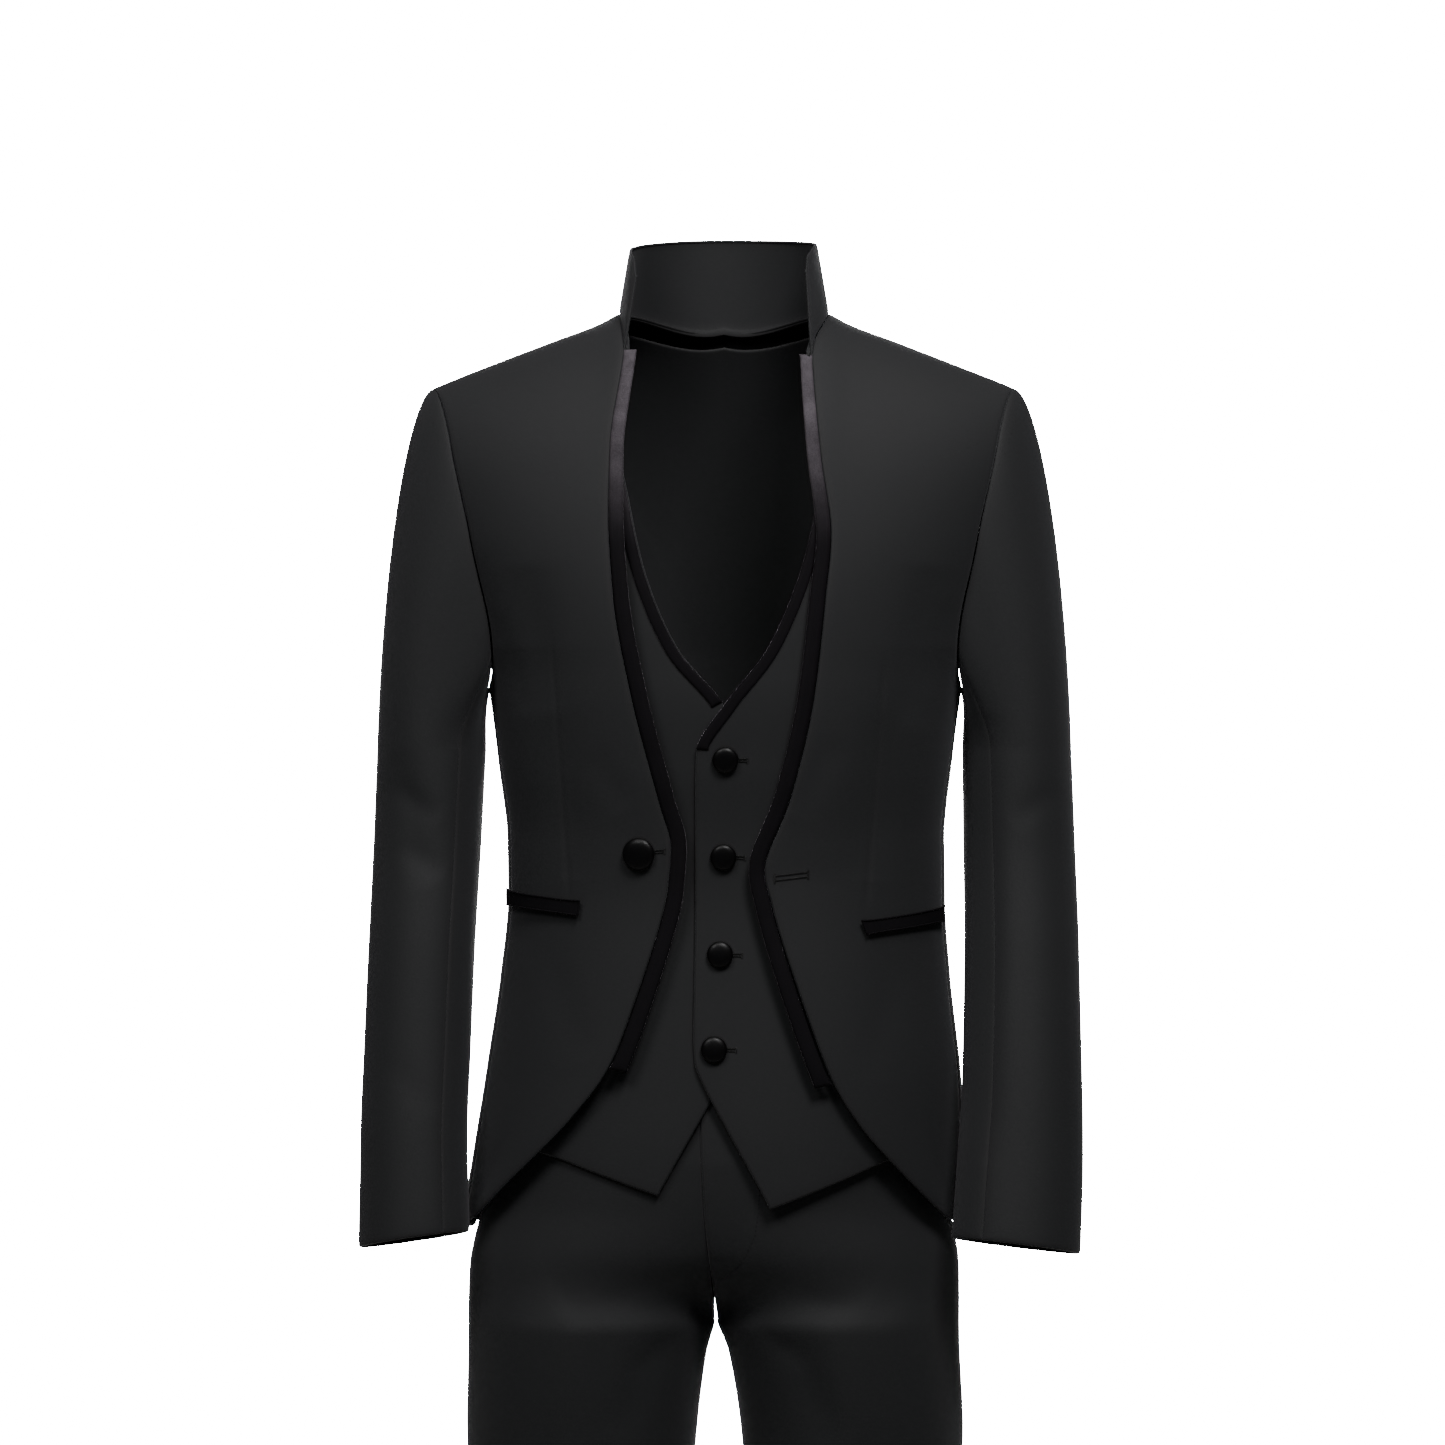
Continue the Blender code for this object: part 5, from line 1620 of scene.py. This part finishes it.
def covered_button(name, node, form, across, height, size):
    """A button covered in satin: a low dome, gathered a little where the cloth turns under."""
    u, v = spot(form, across, height)
    out = outward(form, u, v)
    turn_to = np.array(Vector(out).to_track_quat("Z", "Y").to_matrix())
    foot = form(u, v) + out * BUTTON_ROOM
    turns = np.linspace(0, 2 * np.pi, 49)[:-1]
    verts, faces = [], []
    for reach, rise in BUTTON_FACE:
        gather = 1 + 0.012 * np.sin(24 * turns) * smoothstep(reach, 0.8, 1.0) * (rise < 0.12)
        flat = [way(turns) * reach * gather for way in (np.cos, np.sin)]
        ring = np.stack([*flat, 0 * turns + 2 * rise], -1)
        verts += list((foot + (ring * size / 2) @ turn_to.T) * MM)
    rings, count = len(BUTTON_FACE), len(turns)
    for i in range(rings - 1):
        for j in range(count):
            k = (j + 1) % count
            faces.append((i * count + j, (i + 1) * count + j, (i + 1) * count + k, i * count + k))
    mesh = bpy.data.meshes.new(name)
    mesh.from_pydata(verts, [], faces)
    closed = bmesh.new()
    closed.from_mesh(mesh)
    bmesh.ops.remove_doubles(closed, verts=closed.verts, dist=1e-6)
    bmesh.ops.recalc_face_normals(closed, faces=closed.faces)
    closed.to_mesh(mesh)
    closed.free()
    mesh.shade_smooth()
    mesh.materials.append(finish("black_satin"))
    piece = linked(name, mesh)
    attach(piece, "root")
    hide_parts(node)


def shank(name, form, across, height, reach):
    """A few turns of thread between a button and its cloth."""
    u, v = spot(form, across, height)
    out = outward(form, u, v)
    lines = []
    for x, z in ((-1, -1), (1, -1), (1, 1), (-1, 1)):
        foot = form(u, v) + np.array([x, 0, z]) * 0.8
        lines.append((np.linspace(foot, foot + out * reach, 4), np.tile([1.0, 0, 0], (4, 1))))
    sew(name, lines, SHANK_STITCH)


class TUXEDO_OT_buttons(bpy.types.Operator):
    """Satin-covered buttons, their shanks and their worked buttonholes"""

    bl_idname = "tuxedo.buttons"
    bl_label = "Buttons"

    def execute(self, context):
        fronts, vests = jacket_fronts(), vest_fronts()
        size, across, height = JACKET_BUTTON
        covered_button("coat_button", "jacket_button", fronts["right"], across, height, size)
        shank("coat_button_shank", fronts["right"], across, height, BUTTON_ROOM)
        for number, (across, height) in enumerate(VEST_BUTTONS, 1):
            node = f"waistcoat_button_{number}"
            covered_button(f"vest_button_{number}", node, vests["left"], across, height, VEST_BUTTON)
            shank(f"vest_button_shank_{number}", vests["left"], across, height, BUTTON_ROOM)
            hole = ((across - 1, height), (across + 16.5, height - 0.6))
            buttonhole(f"vest_buttonhole_{number}", vests["left"], *hole)
        buttonhole("coat_buttonhole_right", fronts["right"], (-62, -405), (-41.5, -403.5))
        buttonhole("coat_buttonhole_left", fronts["left"], (41, -424), (66, -421), 1.7)
        return {"FINISHED"}


def fly_line(form):
    """The stitched line that holds the fly facing, curving in to the fork."""
    points = ((29, -598), (29.5, -640), (29, -672), (26, -692), (19, -708), (10, -719), (0, -727))
    return line_on(form, points, 0.08, 160)


class TUXEDO_OT_trousers(bpy.types.Operator):
    """Pressed trousers with their waistband and fly"""

    bl_idname = "tuxedo.trousers"
    bl_label = "Trousers"

    def execute(self, context):
        for name, rows, side in (("left", LEFT_LEG, 1), ("right", RIGHT_LEG, -1)):
            for part, back in (("front", False), ("back", True)):
                form = drawn_in(trouser_form(rows, name, side, back))
                outside = side < 0 if back else side > 0
                form = worn(form if outside else mirrored(form), "trousers", 0.6)
                laid = lay(f"leg_{part}_{name}", form, places(64, 220), places(200, 1017), TROUSER_WALL)
                dress(laid, f"trouser_{part}_{name}", "hung", "waist_band")
                if name == "left" and not back:
                    sew("fly_stitches", [fly_line(form)])
        start = float(place(FLY[-1].across, WAIST_TOP, -TROUSER_INSET)[0])

        def band(u, v):
            angle = start + 360 * (BAND_ENDS + (1 - 2 * BAND_ENDS) * u)
            height = WAIST_TOP + (BAND_FOOT + 2 * SEAM - WAIST_TOP) * v
            return torso(angle, height, back_out(angle, -TROUSER_INSET))

        form = rolled(mirrored(band), 0.5)
        laid = lay("waist_band", form, places(180, 900), places(12, 38), TROUSER_WALL)
        dress(laid, "waistband", "stretched", "leg_front_left", "leg_front_right")
        return {"FINISHED"}


# Lights: where one stands and aims in metres, its size, its share of a setting, and its spread.
Lamp = namedtuple("Lamp", "name place aim size setting share spread")
LAMPS = table(
    Lamp,
    ("front_light", (0.7, -1.9, 2.0), (0, 0, -0.1), (0.9, 0.9), "key", 0.9, 60),
    ("second_light", (-1.2, -2.0, 1.8), (0, 0, -0.1), (1.2, 1.2), "key", 0.5, 60),
    ("top_light", (0, -0.9, 2.6), (0, 0, -0.2), (2.4, 1.6), "top", 1.0, 180),
    ("back_light", (0, 4.2, 0.3), (0, 0, -0.6), (3.0, 2.6), "back", 1.0, 180),
)
FLOOR_HALF = 4
FLOOR_DROP = 0.004  # how far the floor lies below the hems
CAMERA_ACROSS = 0.0019
CAMERA_HEIGHT = -0.307


def area_light(lamp, power):
    """One of the lights of the table."""
    light = bpy.data.lights.new(lamp.name, "AREA")
    light.shape = "RECTANGLE"
    light.size, light.size_y = lamp.size
    light.energy = power
    light.spread = np.radians(lamp.spread)
    stand = linked(lamp.name, light)
    stand.location = lamp.place
    way = Vector(lamp.aim) - Vector(lamp.place)
    stand.rotation_euler = way.to_track_quat("-Z", "Y").to_euler()


class TUXEDO_OT_stage(bpy.types.Operator):
    """Floor, lights, white surroundings and camera"""

    bl_idname = "tuxedo.stage"
    bl_label = "Stage"

    def execute(self, context):
        settings = context.scene.tuxedo_studio
        low = CAD_BOX[0][2] - FLOOR_DROP
        mesh = bpy.data.meshes.new("studio_floor")
        corners = [(x * FLOOR_HALF, y * FLOOR_HALF, low) for x, y in ((-1, -1), (1, -1), (1, 1), (-1, 1))]
        mesh.from_pydata(corners, [], [(0, 1, 2, 3)])
        material = bpy.data.materials.new("pale_floor")
        Nodes(material).finish(Base_Color=(0.82, 0.82, 0.81, 1.0), Roughness=0.8)
        mesh.materials.append(material)
        floor = linked("studio_floor", mesh)
        for lamp in LAMPS:
            area_light(lamp, getattr(settings, lamp.setting) * lamp.share)
        world = bpy.data.worlds.new("white_surroundings")
        world.use_nodes = True
        tree = world.node_tree
        shown, lit = tree.nodes["Background"], tree.nodes.new("ShaderNodeBackground")
        for node, strength in ((shown, settings.white), (lit, settings.fill)):
            node.inputs["Color"].default_value = (1, 1, 1, 1)
            node.inputs["Strength"].default_value = strength
        mix, path = tree.nodes.new("ShaderNodeMixShader"), tree.nodes.new("ShaderNodeLightPath")
        tree.links.new(path.outputs["Is Camera Ray"], mix.inputs[0])
        tree.links.new(lit.outputs[0], mix.inputs[1])
        tree.links.new(shown.outputs[0], mix.inputs[2])
        tree.links.new(mix.outputs[0], tree.nodes["World Output"].inputs[0])
        context.scene.world = world
        camera = bpy.data.cameras.new("camera")
        camera.sensor_width = 36.0
        camera.lens = camera.sensor_width * settings.distance / settings.frame_width
        camera.clip_end = 100
        seen = linked("camera", camera)
        seen.location = (CAMERA_ACROSS, -settings.distance, CAMERA_HEIGHT)
        seen.rotation_euler = (np.pi / 2, 0, 0)
        context.scene.camera = seen
        return {"FINISHED"}


class TUXEDO_PT_panel(bpy.types.Panel):
    """The pieces of the tuxedo and their settings"""

    bl_idname = "TUXEDO_PT_panel"
    bl_label = "Tuxedo"
    bl_space_type = "VIEW_3D"
    bl_region_type = "UI"
    bl_category = "Tuxedo"

    def draw(self, context):
        for group, settings in PROPERTY_GROUPS.items():
            box = self.layout.box()
            for name in settings.__annotations__:
                box.prop(getattr(context.scene, group), name)
        for operator in OPERATORS:
            self.layout.operator(operator.bl_idname)


OPERATORS = (
    TUXEDO_OT_stage,
    TUXEDO_OT_jacket_body,
    TUXEDO_OT_sleeves,
    TUXEDO_OT_collar,
    TUXEDO_OT_waistcoat,
    TUXEDO_OT_velvet_trim,
    TUXEDO_OT_pockets,
    TUXEDO_OT_buttons,
    TUXEDO_OT_trousers,
)


def register():
    for kind in (*PROPERTY_GROUPS.values(), *OPERATORS, TUXEDO_PT_panel):
        bpy.utils.register_class(kind)
    for name, group in PROPERTY_GROUPS.items():
        setattr(bpy.types.Scene, name, bpy.props.PointerProperty(type=group))


def unregister():
    for name in PROPERTY_GROUPS:
        delattr(bpy.types.Scene, name)
    for kind in (TUXEDO_PT_panel, *reversed(OPERATORS), *reversed(PROPERTY_GROUPS.values())):
        bpy.utils.unregister_class(kind)


def main():
    register()
    bpy.ops.tuxedo.stage()
    bpy.ops.tuxedo.jacket_body()
    bpy.ops.tuxedo.sleeves()
    bpy.ops.tuxedo.collar()
    bpy.ops.tuxedo.waistcoat()
    bpy.ops.tuxedo.velvet_trim()
    bpy.ops.tuxedo.pockets()
    bpy.ops.tuxedo.buttons()
    bpy.ops.tuxedo.trousers()


if __name__ == "__main__":
    main()
